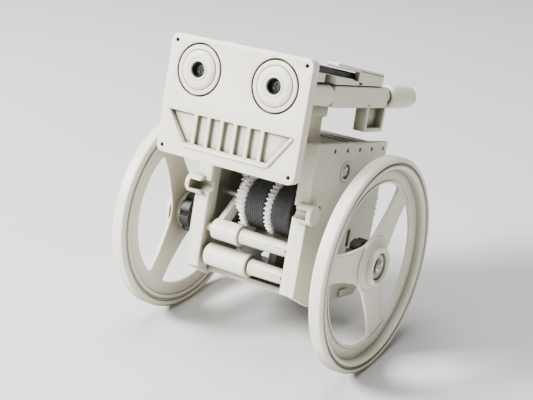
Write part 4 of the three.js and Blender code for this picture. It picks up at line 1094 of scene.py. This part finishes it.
def face():
    low, high = span("face_plate")
    half = high.x
    back = high.y
    front = low.y + 0.7
    bottom = low.z
    top = high.z
    eyes = [(side * EYE_X, top - EYE_DROP) for _, side in SIDES]
    mouth = (bottom + MOUTH_BOTTOM, bottom + MOUTH_TOP)
    grooves = [circle(x, z, radius, steps) for x, z in eyes for radius, steps in EYE_GROOVES]
    dimples = [
        circle(side * (half - DIMPLE_INSET), z, DIMPLE_RADIUS, 20)
        for _, side in SIDES for z in (bottom + DIMPLE_INSET, top - DIMPLE_INSET)
    ]
    outline = rectangle(-half, half, bottom, top, 2.8, 8)
    recess = front + MOUTH_DEPTH
    front_layer = plate(
        [outline, *mouth_windows(*mouth), *grooves, *dimples], front, recess, "XZ", 0.22
    )
    back_layer = plate([outline], recess - 0.25, back, "XZ", 0.5)
    lip = mouth_lip(*mouth, front - 0.05)
    piece("face_plate_moulding", gathered(front_layer, back_layer, lip), "chassis",
          IVORY, "ivory_plastic", "face_plate")
    for (x, z), (word, _) in zip(eyes, SIDES):
        ring = lathe(softened([
            (front + 1.8, 2.5), (front - 0.5, 2.5), (front - 0.85, 2.75), (front - 0.85, 3.2),
            (front - 0.5, 3.5), (front - 0.72, 3.9), (front - 0.62, 5.0), (front - 0.15, 6.1),
            (front + 0.4, 6.25), (front + 1.8, 6.25),
        ], 0.25, 3), (x, 0, z), "Y", 96)
        piece(f"{word}_eye_ring_moulding", ring, "chassis", IVORY, "ivory_plastic", f"{word}_eye_ring")
        low, high = span(f"{word}_pupil_screw")
        pupil = lathe(soft_profile([
            (low.y, 0), (low.y, 1.3), (low.y + 0.3, 2.2), (low.y - 1.2, 2.3), (low.y - 1.2, 2.47),
            (low.y + 0.9, 2.45), (low.y + 0.9, SCREW_SHANK), (high.y, SCREW_SHANK), (high.y, 0),
        ], 0.1), (x, 0, z), "Y", 48)
        cross = [
            slab((x - 1.1, low.y - 0.3, z - 0.2), (x + 1.1, low.y + 0.3, z + 0.2), 0.05, 1),
            slab((x - 0.2, low.y - 0.3, z - 1.1), (x + 0.2, low.y + 0.3, z + 1.1), 0.05, 1),
        ]
        piece(f"{word}_pupil_screw_turned", carved(pupil, *cross), "chassis",
              CHARCOAL, "charcoal_plastic", f"{word}_pupil_screw")


# ---------------------------------------------------------------- carried CAD nodes

CARRIED = {
    "motor_can": STEEL, "motor_end_cap": CHARCOAL, "upper_motor_terminal": BRASS,
    "lower_motor_terminal": BRASS, "motor_cradle": IVORY, "skid_screw": STEEL,
    "left_face_pin": IVORY, "right_face_pin": IVORY, "output_gear": WHITE, "roller_pinion": WHITE,
    "roller_shaft": STEEL, "idler_shaft": STEEL, "idler_gear": WHITE, "idler_pinion": WHITE,
    "motor_shaft": STEEL, "motor_pinion": BRASS,
}

CARRIED_SMOOTH_ANGLE = math.radians(30)


def carried_nodes():
    for name, material in CARRIED.items():
        node = frame["nodes"][name]
        node.data.materials.clear()
        node.data.materials.append(material)
        node.data.shade_smooth()
        node.data.set_sharp_from_angle(angle=CARRIED_SMOOTH_ANGLE)


# ---------------------------------------------------------------- studio

FLOOR_SIZE = 6
LIGHT_TARGET = Vector((0, 0, 0.05))
LIGHTS = (  # name, place, size in metres, power in watts
    ("key", (-0.62, -0.66, 0.70), 0.34, 40),
    ("top", (-0.1, 0.05, 0.95), 0.6, 10),
    ("fill", (0.9, -0.4, 0.5), 0.8, 1.2),
)
WORLD_COLOUR = (1.0, 0.99, 0.96, 1)
WORLD_STRENGTH = 0.22
AZIMUTH = math.radians(33.4)
ELEVATION = math.radians(23.2)
ROLL = math.radians(1.3)
CAMERA_TARGET = Vector((-0.0011, -0.015, 0.0497))
CAMERA_DISTANCE = 0.37
LENS = 75
SENSOR_WIDTH = 36


def studio():
    bpy.ops.mesh.primitive_grid_add(
        x_subdivisions=4, y_subdivisions=4, size=FLOOR_SIZE, location=(0, 0, 0)
    )
    floor = bpy.context.object
    floor.name = "studio_floor"
    made, tree, shader = start_material("studio_floor", 0.75)
    tree.links.new(
        blended(tree, noise(tree, 3, 2), (0.66, 0.655, 0.655), (0.69, 0.685, 0.685)),
        shader.inputs["Base Color"],
    )
    floor.data.materials.append(made)
    world = bpy.data.worlds.new("studio")
    bpy.context.scene.world = world
    world.use_nodes = True
    background = world.node_tree.nodes["Background"]
    background.inputs["Color"].default_value = WORLD_COLOUR
    background.inputs["Strength"].default_value = WORLD_STRENGTH
    for name, place, size, power in LIGHTS:
        data = bpy.data.lights.new(name, "AREA")
        data.size = size
        data.energy = power
        lamp = add_object(name, data)
        lamp.location = place
        lamp.rotation_euler = (LIGHT_TARGET - Vector(place)).to_track_quat("-Z", "Y").to_euler()


def camera():
    data = bpy.data.cameras.new("camera")
    data.lens = LENS
    data.sensor_width = SENSOR_WIDTH
    made = add_object("camera", data)
    back = Vector((
        math.sin(AZIMUTH) * math.cos(ELEVATION), -math.cos(AZIMUTH) * math.cos(ELEVATION),
        math.sin(ELEVATION),
    ))
    made.location = CAMERA_TARGET + CAMERA_DISTANCE * back
    facing = (-back).to_track_quat("-Z", "Y").to_matrix() @ Matrix.Rotation(ROLL, 3, "Z")
    made.rotation_euler = facing.to_euler()
    bpy.context.scene.camera = made


for word, side in SIDES:
    wheel(word, side)
    hub_fittings(word, side)
    side_wall(word, side)
axle_and_bushes()
rollers()
top_deck()
covers()
cross_tubes()
idler_arm()
tail_skid()
rails()
bridge()
solar_panel()
for word, side in SIDES:
    panel_clip(word, side)
face()
carried_nodes()
studio()
camera()
